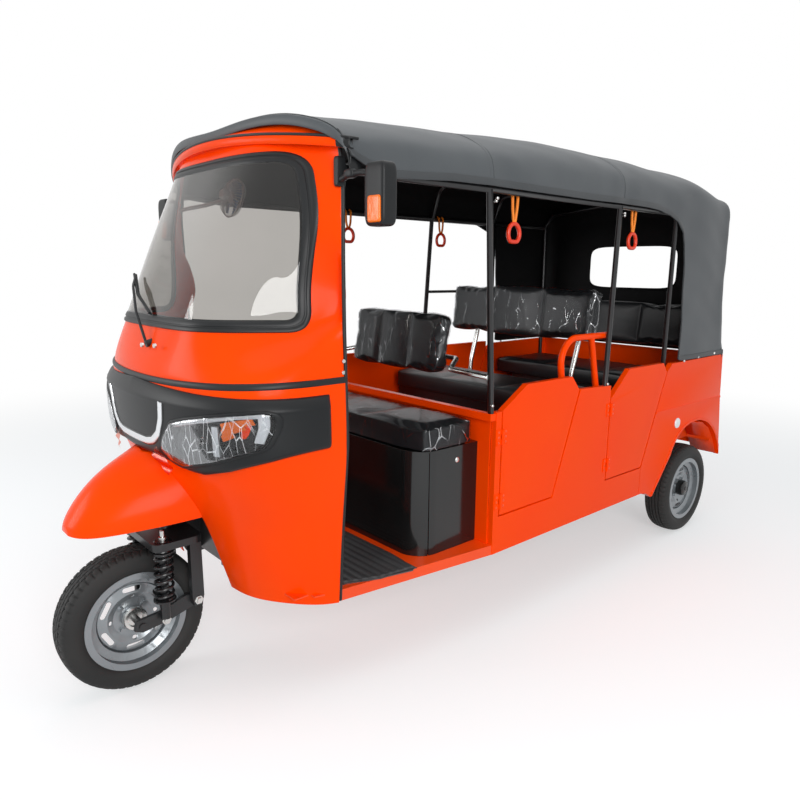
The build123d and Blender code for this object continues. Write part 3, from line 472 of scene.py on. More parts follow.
# ---------------------------------------------------------------- windscreen
# A single sheet of clear, faintly tinted safety glass held by a black rubber section that grips
# both the glass and the steel, with a locking strip pressed into its groove.
SEAL_SECTION = [  # reach outwards from the glass edge, height over the skin
    (-22, -7), (-22, 1), (-20.5, 4.5), (-16, 6.8), (-9, 7.6), (-5, 6.9), (-3.6, 4.6), (-1.5, 4.2), (0.6, 4.6),
    (2, 6.9), (6, 7.4), (10.5, 6.2), (13.4, 3.2), (14, 0.2), (13, -1),
]


def screen_glass():
    """Level rows between the two halves of the outline, a few millimetres inside the seal."""
    s, z = (part[40:-40, None] for part in window_half(-6))
    return shell(front(s * np.linspace(-1, 1, 120), z, -1.0), flip=True)


def screen_seal():
    """The rubber section carried round the outline."""
    loops = [front(*screen_loop(reach), height) for reach, height in SEAL_SECTION]
    return shell(np.stack(loops), flip=True, closed_columns=True)


def belt_strip():
    """A half-round moulding along the belt, dipping slightly at the middle."""
    s = np.linspace(-1, 1, 161)
    middle = 1070 + 13 * (front(s, BELT_Z)[:, 0] / 570) ** 2
    turn = np.linspace(-pi / 2, pi / 2, 9)[:, None]
    return shell(front(s, middle + 10 * np.sin(turn), 7 * np.cos(turn) ** 0.6))


GLASS = made_surface("windscreen_glass", (0.40, 0.385, 0.36), (0.43, 0.41, 0.385), (0.0, 0.015), (400, 0.0),
                     (1.2, 0.01), Transmission_Weight=1.0, IOR=1.45, Specular_IOR_Level=0.3)
SEAL_RUBBER = made_surface("seal_rubber", (0.008, 0.009, 0.01), (0.014, 0.015, 0.016), (0.34, 0.5),
                           (1200, 0.2), Specular_IOR_Level=0.3)
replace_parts(thick(mesh_piece("windscreen_pane", *screen_glass(), GLASS), 5), "windscreen_glass")
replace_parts(mesh_piece("windscreen_rubber", *screen_seal(), SEAL_RUBBER), "windscreen_seal")
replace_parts(mesh_piece("belt_moulding", *belt_strip(), SEAL_RUBBER), "belt_trim")


# ---------------------------------------------------------------- canopy
# One cover of charcoal coated cloth, sewn from panels and stretched over the bows. Its sides end
# in a bound hem; behind the last seat it runs down to the body and closes round the rear window.
CANOPY_ROWS = [  # distance behind the front axle, half width, height of the shoulder and of the crown
    (350, 584, 1831, 1856), (400, 588, 1836, 1862), (580, 597, 1844, 1886), (1000, 598, 1862, 1912),
    (1550, 600, 1885, 1935), (2050, 600, 1888, 1940), (2500, 600, 1878, 1925), (2850, 600, 1846, 1895),
    (3000, 594, 1812, 1858), (3055, 570, 1770, 1808), (3076, 530, 1708, 1738),
]
HEM_LINE = [  # y, z of the hem from the front corner to the tail, and the crown's y opposite each point
    (487, 1790, 356), (489, 1757, 366), (500, 1733, 398), (530, 1718, 462), (575, 1701, 545),
    (650, 1684, 650), (760, 1690, 760), (902, 1699, 902), (1093, 1702, 1093), (1426, 1700, 1426),
    (1700, 1699, 1700), (1934, 1701, 1934), (2140, 1700, 2140), (2261, 1694, 2240), (2357, 1679, 2320),
    (2441, 1650, 2390), (2500, 1606, 2450), (2524, 1545, 2500), (2534, 1475, 2545), (2546, 1330, 2600),
    (2558, 1182, 2650), (2560, 1070, 2690), (2557, 984, 2725), (2590, 978, 2755), (2700, 977, 2835),
    (2850, 977, 2920), (2980, 977, 2990), (3040, 977, 3040), (3076, 977, 3076),
]
CANOPY_BACK, SHOULDER_RUN, WINDOW_X, WINDOW_Z = 3076, 690, 15, 1444
CANOPY_Y, CANOPY_RUN = np.arange(346, 3077, 10.0), np.arange(0, 1640, 8.0)
HEM_BINDING = [(-2, -3.2), (-2, 1.8), (0, 3.0), (3, 3.4), (20, 3.4), (22.5, 2.6), (23, 0), (23, -1)]


def canopy_table():
    """Half sections (x, z) by distance from the crown, for every station: an arch, then a plumb side."""
    rows = np.array(CANOPY_ROWS, float)
    table = np.zeros((len(CANOPY_Y), len(CANOPY_RUN), 2))
    for row, (half, shoulder, crown) in enumerate(natural_spline(rows[:, 0], rows[:, 1:], CANOPY_Y)):
        bend = min(1702, shoulder - 60)
        turn = bend + 0.55 * (shoulder - bend)
        right = [(half, bend), (half - 14, turn), (half - 110, shoulder)]
        knots = np.array([(-x, z) for x, z in right] + [(0, crown)] + right[::-1])
        run = run_of(knots)
        arch = natural_spline(run, knots, np.linspace(run[3], run[-1], 400))
        path = np.vstack([arch, np.stack([np.full(60, half), np.linspace(bend, 300, 61)[1:]], axis=1)])
        table[row] = read_along(path, CANOPY_RUN)
    return table


CANOPY_TABLE = canopy_table()


def canopy_point(y, run):
    """Points of the taut cover; run is the distance from the crown, above nought on the left.

    Towards the tail the lower side spreads out to the body's width.
    """
    y, run = np.broadcast_arrays(np.asarray(y, float), np.asarray(run, float))
    x, z = np.moveaxis(between(CANOPY_TABLE, (y - CANOPY_Y[0]) / 10, np.abs(run) / 8), -1, 0)
    spread = np.interp(z, [983, 1207, 1314, 1629, 1700], [1.0, 0.36, 0.12, 0.0, 0.0])
    x = x + (604 - x) * spread * (x > 500)
    return np.stack([x * np.sign(run + 1e-9), y, z], axis=-1)


def run_at_height(y, z):
    """The distance from the crown at which each section at y has come down to the height z."""
    rows = np.clip(np.round((y - CANOPY_Y[0]) / 10).astype(int), 0, len(CANOPY_Y) - 1)
    return np.array([np.interp(-height, -CANOPY_TABLE[row, :, 1], CANOPY_RUN)
                     for row, height in zip(rows, z)])


def unit(vectors):
    """Vectors drawn to the length of one."""
    return vectors / np.linalg.norm(vectors, axis=-1, keepdims=True)


def surface_normals(points):
    """Unit normals of a grid of points from its two directions."""
    return unit(np.cross(np.gradient(points, axis=1), np.gradient(points, axis=0)))


BOW_LINES = (350, 1110, 1957, 2475, 2990)


def slack(y, run, z):
    """How far the cloth lies in from the taut cover: sags between bows, ripples and small folds.

    The sag is the square of a sine between neighbouring bows. Ripples are slanted waves that fade
    towards the crown and grow near the corners, and the folds run with the pull of the hem.
    """
    bows = np.array(BOW_LINES, float)
    k = np.clip(np.searchsorted(bows, y) - 1, 0, len(bows) - 2)
    u = np.clip((y - bows[k]) / (bows[k + 1] - bows[k]), 0, 1)
    roof = np.clip((z - 1780) / 80, 0, 1)
    sag = 9 * np.sin(pi * u) ** 2 * roof * (0.6 + 0.4 * np.cos(run / 240))
    ripple = 1.6 * np.sin(run / 47 + y / 83) * np.sin(y / 131 + 1.3) + 0.9 * np.sin(run / 23 - y / 61)
    edge = np.exp(-((np.abs(run) - SHOULDER_RUN) / 120) ** 2)
    folds = 2.4 * edge * np.sin(y / 38 + 2.0 * np.sin(y / 260)) * np.exp(-(((y - 2500) / 260) ** 2))
    folds += 2.2 * edge * np.sin(y / 29 + run / 60) * np.exp(-(((y - 1957) / 150) ** 2))
    folds += 2.0 * edge * np.sin(y / 33 - run / 55) * np.exp(-(((y - 1110) / 140) ** 2))
    wall = 3.4 * np.clip((1600 - z) / 200, 0, 1) * np.sin((y - 2560) / 130) * np.sin(z / 95 + y / 170)
    return (sag + 0.7 * ripple + folds + wall) * np.clip((y - 500) / 160, 0, 1) + 0.5


def canopy_grid(rows, columns):
    """The taut cover as one grid, the same drawn in by its slack, and the y and run of its points.

    Each row runs from a point of the left hem over the crown to the right. It leaves the hem at one
    station and reaches the crown at another, by a power of its share.
    """
    line = np.array(HEM_LINE, float)
    run, close = run_of(line[:, :2]), 8.8
    even = np.r_[np.arange(14) * close, np.linspace(14 * close, run[-1], rows - 14)]
    hem_y, hem_z, crown_y = (np.interp(even, run, part) for part in line.T)
    share = np.linspace(1, -1, columns)
    y = crown_y[:, None] + (hem_y - crown_y)[:, None] * np.abs(share) ** 2.2
    reach = run_at_height(hem_y, hem_z)[:, None] * share
    taut = canopy_point(y, reach)
    return taut, taut - surface_normals(taut) * slack(y, reach, taut[..., 2])[..., None], y, reach


def canopy_cover():
    """The cover's grid with the rear wall welded to its last row, ring by ring, round the window."""
    rows, columns, foot, rings = 214, 201, 90, 14
    taut, cover, _, reach = canopy_grid(rows, columns)
    fold = np.array([(0, -1, -30), (0, -3, -28), (0, -3.5, -14), (0, -2, -3)], float)
    cover[:4] = cover[4] + fold[:, None] * np.clip((720 - np.abs(reach[4])) / 160, 0.1, 1)[:, None]
    cover[-1] = taut[-1] + (0, -1.5, 0)
    last = cover[-1]
    base = np.linspace(last[-1], last[0], foot + 2)[1:-1]
    outline = np.vstack([last, base])
    angle = np.arctan2((outline[:, 2] - 1400) / 420, (outline[:, 0] - WINDOW_X) / 540)
    c, s = np.cos(angle), np.sin(angle)
    inner = np.stack([WINDOW_X + 285 * np.sign(c) * np.abs(c) ** 0.32, outline[:, 1],
                      WINDOW_Z + 122 * np.sign(s) * np.abs(s) ** 0.32], axis=1)
    w = np.linspace(0, 1, rings + 1)[1:, None, None]
    wall = outline + (inner - outline) * w
    ripple = 1 + 0.5 * np.sin(wall[..., 0] / 70 + wall[..., 2] / 90)
    wall[..., 1] = CANOPY_BACK - 1.5 - 5 * np.sin(pi * w[..., 0]) * ripple
    total = columns + foot
    points = np.vstack([cover.reshape(-1, 3), base, wall.reshape(-1, 3)])
    start = (rows - 1) * columns
    wall_faces = quads(rings + 1, total, closed_columns=True, start=start)
    return points, np.vstack([quads(rows, columns), wall_faces])


def strip(path, inward, outward, section):
    """A band along a path: each section point is a distance inwards and one outwards from the path."""
    section = np.array(section, float)
    return shell(path + section[:, :1, None] * inward + section[:, 1:, None] * outward)


CANOPY_CLOTH = made_surface("canopy_cloth", (0.062, 0.069, 0.075), (0.078, 0.086, 0.092), (0.40, 0.5),
                            (1500, 0.35), (7, 0.10), Specular_IOR_Level=0.35)
CANOPY_LINING = made_surface("canopy_lining", (0.004, 0.004, 0.0045), (0.007, 0.007, 0.0075), (0.6, 0.75),
                             (1500, 0.35), Specular_IOR_Level=0.15)
cover_points, cover_faces = canopy_cover()
cover = thick(mesh_piece("canopy_cover", cover_points, cover_faces[:, ::-1], CANOPY_CLOTH, angle=60), 3)
cover.data.materials.append(CANOPY_LINING)
cover.modifiers["thick"].material_offset = 1
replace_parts(cover, "canopy")


def hem_bands():
    """The bound edge down both sides and across the front, and the taped seams over the roof."""
    _, loose, y, _ = canopy_grid(420, 261)
    bands = []
    for edge, beside, side in ((0, 3, 1), (-1, -4, -1)):
        path = loose[:, edge]
        inward = unit(loose[:, beside] - path)
        outward = unit(np.cross(np.gradient(path, axis=0), inward))
        bands.append(strip(path, inward, outward * np.sign(outward[:, :1]) * side, HEM_BINDING))
    normal, back = surface_normals(loose), np.array([(0, 1.0, 0)])
    bands.append(strip(loose[6], back, normal[6], HEM_BINDING))
    for seam_y in SEAM_LINES:
        row = np.abs(y[:, 0] - seam_y).argmin()
        bands.append(strip(loose[row], back, normal[row], SEAM_TAPE))
    return bands


SEAM_LINES = (1100, 1945)
SEAM_TAPE = [(-9, -0.5), (-8.5, 1.0), (-6, 1.3), (0, 2.2), (6, 1.3), (8.5, 1.0), (9, -0.5)]
HEM_CLOTH = made_surface("hem_cloth", (0.03, 0.034, 0.037), (0.04, 0.044, 0.048), (0.42, 0.52), (1500, 0.4),
                         (9, 0.05))
hems = [mesh_piece(f"canopy_hem_{index}", *band, HEM_CLOTH, angle=50)
        for index, band in enumerate(hem_bands())]


def roof_hood():
    """The pressed front roof: a rolled lip, a narrow channel behind it and a hood under the cloth.

    Across the vehicle the lip's plan and height follow the square of the share; behind the channel
    the surface blends into the cover, narrowed a little and drawn down by its clearance.
    """
    share = np.linspace(-1, 1, 241)
    plan, low = BROW_Y + BROW_SWEEP * share ** 2, BROW_LOW + BROW_RISE * (1 - share ** 2)
    lip = [(30, 3, 0.96), (12, 0, 0.998), (0.5, 0.0, 1), (-1.5, 3, 1), (-2.5, 11, 1), (-1.5, 20, 1),
           (2, 24, 1), (8, 24.5, 0.995), (16, 24, 0.985)]
    rows = [np.stack([BROW_HALF * share * wide, plan + back, low + rise], axis=1) for back, rise, wide in lip]
    channel = rows[-1]

    def under(y):
        """The cover at y, narrowed and lowered."""
        return canopy_point(y, SHOULDER_RUN * share) * (0.982, 1, 1) - (0, 0, 10)

    for t in np.linspace(0.08, 1, 14):
        w = t * t * (3 - 2 * t)
        rows.append(channel * (1 - w) + under(np.minimum(plan + 16 + 74 * t, 500)) * w)
    return shell(np.stack([*rows, under(520), under(540)]), flip=True)


def read(parts, key, width, kind=float):
    """One value of all vertices, corners or faces of a mesh, as the rows of an array."""
    values = np.empty(len(parts) * width, kind)
    parts.foreach_get(key, values)
    return values.reshape(-1, width)


def second_finish(piece, finish, chosen):
    """Gives the chosen faces of a piece another finish."""
    piece.data.materials.append(finish)
    piece.data.polygons.foreach_set("material_index", chosen.astype(int))


hood = mesh_piece("front_roof", *roof_hood(), PAINT, angle=50)
second_finish(hood, SEAL_RUBBER, np.abs(read(hood.data.polygons, "center", 3)[:, 0]) > 0.56)
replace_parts(thick(hood, 2), "roof_cap")


# ---------------------------------------------------------------- wheels and front suspension
# Moulded rubber tyres with ribs cut into blocks by thin sipes, on pressed steel rims painted silver.
# The front hub is carried by two steel arms and a pair of black coil springs on dampers.
TYRE_R, REAR_X, WHEELBASE = 243, 530, 2813
TYRE_PROFILE = [  # distance across from the middle, radius; grooves are cut where the radius drops
    (0, 243), (6.0, 243), (7.2, 236.5), (10.6, 236.5), (11.8, 242.8), (23, 242.2), (24.2, 235.8),
    (28.0, 235.8), (29.2, 241.4), (40, 239.6), (48, 236.4), (52.5, 233.2), (56, 228), (60, 216), (63.5, 201),
    (62.4, 188), (57, 176.5), (53.4, 173), (52.2, 168), (51.5, 158),
]


def tyre_surface(steps=336):
    """The profile turned round the axle; sipes lower the tread at even angles, slanted by rib."""
    right = np.array(TYRE_PROFILE, float)
    profile = np.vstack([right[::-1], right[1:] * (-1, 1)])[::-1]
    turn = np.linspace(0, 2 * pi, steps, endpoint=False)[:, None]
    x, radius = profile[:, 0], profile[:, 1]
    rib = np.where(np.abs(x) < 9, 0.0, np.where(np.abs(x) < 26, 0.4, 0.8)) * np.sign(x)
    phase = (turn * 56 / (2 * pi) + rib + 0.006 * x) % 1.0
    width = np.where(np.abs(x) > 29, 0.17, 0.13)
    depth = np.where(np.abs(x) < 6.5, 2.2, np.where(np.abs(x) < 26, 3.6, 4.2))
    cut = (phase < width) * (radius > 232) * depth
    r = radius - cut
    points = np.stack([np.broadcast_to(x, r.shape), r * np.sin(turn), r * np.cos(turn)], axis=-1)
    return shell(points, flip=True, closed_rows=True)


TYRE_RUBBER = made_surface("tyre_rubber", (0.015, 0.015, 0.015), (0.027, 0.026, 0.025), (0.55, 0.75),
                           (900, 0.3), Specular_IOR_Level=0.3)
WHEEL_SILVER = made_surface("wheel_silver", (0.21, 0.23, 0.245), (0.27, 0.29, 0.305), (0.22, 0.34),
                            (800, 0.12), Metallic=0.55, Coat_Weight=0.35, Coat_Roughness=0.12)
tyre_points, tyre_faces = tyre_surface()
for name, named, x, y in (("front", "front_{}", 0, 0), ("rear_left", "rear_{}_left", REAR_X, WHEELBASE),
                          ("rear_right", "rear_{}_right", -REAR_X, WHEELBASE)):
    wheel = named.format("wheel")
    tyre = mesh_piece("tyre_" + name, tyre_points + (x, y, TYRE_R), tyre_faces, TYRE_RUBBER, wheel, angle=30)
    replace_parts(tyre, named.format("tyre"))
    dressed(named.format("rim"), WHEEL_SILVER, 1.4, wheel, angle=28)


def turned(profile, centre, steps=48, axis=0, flip=False, way=1):
    """A profile of (distance along the axis, radius) turned round an axis through the centre.

    The distances run along the axis, or for way -1 against it.
    """
    along, radius = np.array(profile, float).T
    turn = np.linspace(0, 2 * pi, steps, endpoint=False)[:, None]
    parts = [radius * np.cos(turn), radius * np.sin(turn)]
    parts.insert(axis, np.broadcast_to(way * along, (steps, len(along))))
    return shell(np.stack(parts, axis=-1) + centre, ((axis == 1) != flip) != (way < 0), closed_rows=True)


def joined(*shapes):
    """Several (points, faces) shapes as one."""
    points, faces, start = [], [], 0
    for part, corners in shapes:
        points.append(part)
        faces.append(corners + start)
        start += len(part)
    return np.vstack(points), np.vstack(faces)


def hexagons(centres, radius, height, axis=0, way=1):
    """Nut or bolt heads with a chamfered top, standing on the given centres."""
    profile = [(0, 0.01), (0, radius), (height * 0.75, radius), (height, radius * 0.82), (height, 0.01)]
    return joined(*[turned(profile, centre, 6, axis, way=way) for centre in centres])


STEEL = made_surface("steel", (0.5, 0.5, 0.49), (0.66, 0.66, 0.64), (0.18, 0.34), (1500, 0.2), Metallic=1.0)
BLACK_GLOSS = made_surface("black_gloss", (0.006, 0.006, 0.006), (0.01, 0.01, 0.01), (0.08, 0.16),
                           (300, 0.02), (4, 0.05))
SIDES = ((1, "left"), (-1, "right"))
cap_profile = [(0, 42), (20, 42), (31, 39), (36, 32), (37, 12), (41, 10), (41, 0.01)]
for side, name in SIDES:
    cap = turned(cap_profile, (side * (REAR_X + 22), WHEELBASE, TYRE_R), way=side)
    mesh_piece("hub_cap_" + name, *cap, BLACK_GLOSS, "rear_wheel_" + name)
hub = turned([(20, 40), (34, 40), (38, 37), (38, 27), (30, 25), (30, 0.01)], (0, 0, TYRE_R))
mesh_piece("front_hub", *hub, STEEL, "front_wheel")


def coil(centre_low, centre_high, radius, thickness, turns, steps=34, around=10):
    """A coil spring: a wire ring carried along a helix whose ends close up into flat turns."""
    low, high = np.array(centre_low, float), np.array(centre_high, float)
    t = np.linspace(0, 1, turns * steps)
    rise = np.interp(t, [0, 0.09, 0.91, 1], [0, 0.025, 0.975, 1])
    angle = 2 * pi * turns * t
    out = np.stack([np.cos(angle), np.sin(angle), 0 * t], axis=1)
    path = low + (high - low) * rise[:, None] + out * radius
    turn = np.linspace(0, 2 * pi, around, endpoint=False)
    ring = np.cos(turn)[:, None] * out[:, None] + np.sin(turn)[:, None] * unit(high - low)
    return shell(path[:, None] + thickness * ring, closed_columns=True)


SPRING_BLACK = made_surface("spring_black", (0.007, 0.007, 0.008), (0.012, 0.012, 0.013), (0.2, 0.34),
                            (700, 0.08))
SPRING_PARTS = [  # height and radius of each turned part, its place behind the axle, and its steps
    ([(322, 0.01), (322, 36), (328, 37), (330, 34), (330, 0.01)], 72.5, 40),
    ([(492, 0.01), (492, 36), (497, 37), (499, 30), (512, 24), (512, 0.01)], 75, 40),
    ([(516, 0.01), (516, 27), (520, 29), (530, 29), (533, 25), (533, 0.01)], 75.4, 40),
    ([(330, 14), (492, 14)], 73.5, 24),
    ([(258, 0.01), (258, 17), (300, 17), (322, 20), (322, 0.01)], 72, 32),
]
STUD = [(533, 0.01), (533, 13), (545, 13), (545, 8), (566, 8), (568, 0.01)]
ARM_BOLT = [(120, 0.01), (120, 16), (128, 16), (128, 11), (134, 10), (134, 0.01)]
for side, name in SIDES:
    x = side * 118
    parts = [turned(profile, (x, y, 0), steps, 2) for profile, y, steps in SPRING_PARTS]
    spring = coil((x, 72.5, 332), (x, 75, 490), 28, 5.2, 7)
    damper = mesh_piece("spring_" + name, *joined(spring, *parts), SPRING_BLACK, "steering")
    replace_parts(damper, "front_dampers")
    bolts = [turned(ARM_BOLT, (0, y, z), 6, way=side) for y, z in ((71, 252), (187, 286))]
    bolts.append(turned(STUD, (x, 76, 0), 24, 2))
    mesh_piece("suspension_bolts_" + name, *joined(*bolts), STEEL, "steering")


# ---------------------------------------------------------------- seats
# Foam cushions in black grained vinyl, stitched along their upper edges and still in the clear
# wrapping film they were delivered in. The foam swells the cover between its seams.
def simulated(piece, frames=16):
    """Runs the cloth solver from frame 1 and returns the vertices of the last frame."""
    scene = bpy.context.scene
    scene.frame_start, scene.frame_end = 1, frames
    for number in range(1, frames + 1):
        scene.frame_set(number)
    moved = read(piece.evaluated_get(bpy.context.evaluated_depsgraph_get()).data.vertices, "co", 3)
    scene.frame_set(1)
    return moved


def stuffed(node, finish, seams, inset=0.006, voxel=0.008, pressure=3.5, most=0.012, finer=True):
    """A cushion: the solid drawn in a little, remeshed evenly and blown up as stitched cloth.

    seams(points) gives a weight from 0 to 1 that holds a point where it is. No point moves by more
    than most metres. A finer cover is subdivided once.
    """
    draft = put(node + "_draft", welded(node, False))
    remesh = draft.modifiers.new("even", "REMESH")
    remesh.mode, remesh.voxel_size = "VOXEL", voxel
    shrunk = draft.modifiers.new("inset", "DISPLACE")
    shrunk.strength, shrunk.mid_level = -inset, 0.0
    smooth = draft.modifiers.new("smooth", "SMOOTH")
    smooth.iterations, smooth.factor = 6, 0.5
    solid = bpy.data.meshes.new_from_object(draft.evaluated_get(bpy.context.evaluated_depsgraph_get()))
    bpy.data.objects.remove(draft)
    piece, rest = put(node + "_cover", solid), read(solid.vertices, "co", 3)
    held = piece.vertex_groups.new(name="held")
    weight = seams(rest * 1000 + AXLE_TO_ORIGIN)
    for level in np.unique(np.round(weight, 1)):
        if level > 0:
            held.add(np.flatnonzero(np.round(weight, 1) == level).tolist(), float(level), "REPLACE")
    cloth = piece.modifiers.new("stuffing", "CLOTH")
    settings = cloth.settings
    settings.quality, settings.mass, settings.air_damping = 5, 0.3, 2.0
    settings.tension_stiffness = settings.compression_stiffness = 25.0
    settings.shear_stiffness, settings.bending_stiffness = 10.0, 0.6
    settings.use_pressure, settings.uniform_pressure_force = True, pressure
    settings.effector_weights.gravity = 0
    settings.vertex_group_mass = "held"
    cloth.collision_settings.use_collision = False
    cloth.point_cache.frame_start, cloth.point_cache.frame_end = 1, 16
    moved = simulated(piece) - rest
    piece.modifiers.remove(cloth)
    length = np.linalg.norm(moved, axis=1, keepdims=True)
    rest = rest + moved * np.minimum(1, most / np.maximum(length, 1e-9))
    solid.vertices.foreach_set("co", rest.ravel())
    finished(solid, finish)
    if finer:
        finer = piece.modifiers.new("finer", "SUBSURF")
        finer.levels = finer.render_levels = 1
    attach(piece, "vehicle")
    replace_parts(piece, node)
    return piece


def near(value, places, reach):
    """One at any of the places, falling to nought over reach."""
    gap = np.min(np.abs(value[:, None] - np.array(places, float)), axis=1)
    return np.clip(1 - gap / reach, 0, 1)


SEAT_VINYL = made_surface("seat_vinyl", (0.010, 0.011, 0.012), (0.016, 0.017, 0.019), (0.26, 0.38),
                          (1100, 0.4), (14, 0.03), Specular_IOR_Level=0.35)
driver_cushion = stuffed("driver_cushion", SEAT_VINYL, lambda p: np.maximum(
    near(p[:, 2], (778, 848), 7), near(p[:, 0], (-180, 180), 6) * (p[:, 2] > 850)))
stuffed("bench_cushions", SEAT_VINYL, lambda p: np.maximum(
    near(p[:, 2], (802, 868), 7), near(p[:, 0], (-180, 180), 6) * (p[:, 2] > 870)), finer=False)
driver_backrest = stuffed("driver_backrest", SEAT_VINYL, lambda p:
                          near(p[:, 0], (-95, 95), 6) * (p[:, 1] < 1225))
bench_backrests = stuffed("bench_backrests", SEAT_VINYL, lambda p:
                          near(p[:, 0], (-155, 155), 6) * (np.abs(p[:, 1] - 2040) > 12))
dressed("seat_base", BLACK_GLOSS, 3.0)
dressed("backrest_frames", STEEL, 0)


def clear_film(name, start, most, colour=(0.95, 0.955, 0.96)):
    """A very thin clear plastic: see-through, with a faint sheen and fine painted glints on its crinkles.

    The painted glints are bright lines of a metallic shader that stand in for light caught by the
    crinkles. They lie where a stretched cell pattern is close to a cell's edge, and grow to most
    where a noise is above start.
    """
    material, tree = node_material(name)
    # The cell-edge lines times the noise patches mix a metallic shader into the clear one as painted glints
    # on the crinkles; the Fresnel sheen adds to them.
    wire(tree, {"shader": tree.nodes["Principled BSDF"], "out": tree.nodes["Material Output"],
                "spot": "TexCoord", "lean": "Mapping", "folds": "TexVoronoi", "fine": "TexNoise",
                "ridge": "MapRange", "patch": "MapRange", "mark": "Math", "total": "Math", "sheen": "Math",
                "clear": "BsdfTransparent", "both": "MixShader", "fresnel": "Fresnel", "crease": "Bump"},
         {"lean.Rotation": (0.5, 0.7, 0.9), "lean.Scale": (2.6, 1.6, 0.8),
          "folds:feature": "DISTANCE_TO_EDGE", "folds.Scale": 15.0, "fine.Scale": 9.0, "fine.Detail": 4,
          "ridge.From Max": 0.035, "ridge.To Min": 1.0, "ridge.To Max": 0.0, "patch.From Min": start,
          "patch.From Max": start + 0.2, "patch.To Max": most, "mark:operation": "MULTIPLY",
          "total:operation": "ADD", "total:use_clamp": True, "fresnel.IOR": 1.35,
          "sheen:operation": "MULTIPLY", "sheen.1": 0.22, "crease.Distance": 0.002, "crease.Strength": 0.5,
          "clear.Color": (*colour, 1), "shader.Base Color": (0.75, 0.76, 0.78, 1), "shader.Metallic": 1.0,
          "shader.Roughness": 0.12},
         "spot.Object > lean.Vector, lean.Vector > folds.Vector, lean.Vector > fine.Vector,"
         "folds.Distance > ridge.Value, fine.0 > patch.Value, ridge.0 > mark.0, patch.0 > mark.1,"
         "fresnel.0 > sheen.0, mark.0 > total.0, sheen.0 > total.1, fine.0 > crease.Height,"
         "crease.0 > shader.Normal, total.0 > both.0, clear.0 > both.1, shader.0 > both.2,"
         "both.0 > out.Surface")
    return material


def crumple(p, size):
    """Crinkles of a stiff film: ridges, as the folded sine of slanted sums, in two sizes."""
    a = np.abs(np.sin(p[..., 0] / 31 + p[..., 1] / 43 + p[..., 2] / 57 + 1.3 * np.sin(p[..., 0] / 90)))
    b = np.abs(np.sin(p[..., 0] / 17 - p[..., 1] / 23 + p[..., 2] / 13 + np.sin(p[..., 2] / 40)))
    c = np.abs(np.sin(p[..., 1] / 11 + p[..., 2] / 19 - p[..., 0] / 29))
    return size * (1.2 * a + 0.7 * b + 0.35 * c)


def film_over(name, pad, span=(0, 3000)):
    """A film pulled over a pad and open below: the pad's own faces, moved out along their normals.

    Points move by three millimetres and the crinkles. span is the part of the pad taken, in y.
    """
    shape = pad.data
    points = read(shape.vertices, "co", 3) * 1000 + AXLE_TO_ORIGIN
    outward = read(shape.vertices, "normal", 3)
    corners = read(shape.loops, "vertex_index", 1, int).reshape(-1, 4)
    facing = read(shape.polygons, "normal", 3)
    middle_y = points[corners].mean(axis=1)[:, 1]
    keep = (facing[:, 2] > -0.6) & (middle_y > span[0]) & (middle_y < span[1])
    used, faces = np.unique(corners[keep], return_inverse=True)
    lifted = points[used] + outward[used] * (3 + crumple(points[used], 0.8)[:, None])
    film = mesh_piece(name, lifted, faces.reshape(-1, 4), FILM, angle=80)
    # The pad's side faces take the bunched film, which carries more painted glints.
    second_finish(film, FILM_BUNCHED_GLINTING, np.abs(facing[keep][:, 0]) > 0.5)


# Both films carry painted glints on their crinkles; the bunched one carries more of them, where the real film
# bunches.
FILM = clear_film("wrapping_film", 0.5, 0.45)
FILM_BUNCHED_GLINTING = clear_film("wrapping_film_bunched_glints", 0.36, 0.95)
film_over("film_driver_cushion", driver_cushion)
film_over("film_driver_backrest", driver_backrest)
film_over("film_middle_backrest", bench_backrests, (1940, 2140))


# ---------------------------------------------------------------- front panel and lamps
# A moulded black plastic panel, proud of the steel, with a sloping shelf along its top edge. It
# carries a clear wrap-round lamp unit each side and a pale U-shaped light strip in the middle.
FASCIA_FOOT = [(0, 824), (142, 826), (252, 815), (310, 804), (373, 801), (461, 824), (554, 861), (600, 884)]
LAMP_OUTLINE = [(197, 862), (214, 903), (262, 956), (330, 974), (410, 990), (490, 1004), (552, 1012),
                (562, 1005), (562, 984), (560, 962), (554, 936), (546, 908), (486, 884), (419, 858),
                (350, 838), (294, 824), (250, 832)]


def at_x(x, z, grow):
    """Points of the nose at given x: the share is found first on the section of each height."""
    x, z, grow = np.broadcast_arrays(np.asarray(x, float), np.asarray(z, float), np.asarray(grow, float))
    share = np.linspace(-1, 1, 401)
    table_z = np.arange(790, 1090, 5.0)
    across = front(share[None, :], table_z[:, None], 28)[..., 0]
    i = np.clip(np.round((z - 790) / 5).astype(int), 0, len(table_z) - 1)
    s = np.empty(x.shape)
    for row in np.unique(i):
        s[i == row] = np.interp(x[i == row], across[row], share)
    return front(s, z, grow)


def inside(px, pz, outline):
    """True where a point lies within a closed outline: an odd number of sides passes to its right."""
    ax, az = np.array(outline, float).T
    bx, bz = np.roll(ax, -1), np.roll(az, -1)
    within = np.zeros(px.shape, bool)
    for x0, z0, x1, z1 in zip(ax, az, bx, bz):
        crosses = (z0 > pz) != (z1 > pz)
        within ^= crosses & (px < (x1 - x0) * (pz - z0) / (z1 - z0 + 1e-12) + x0)
    return within


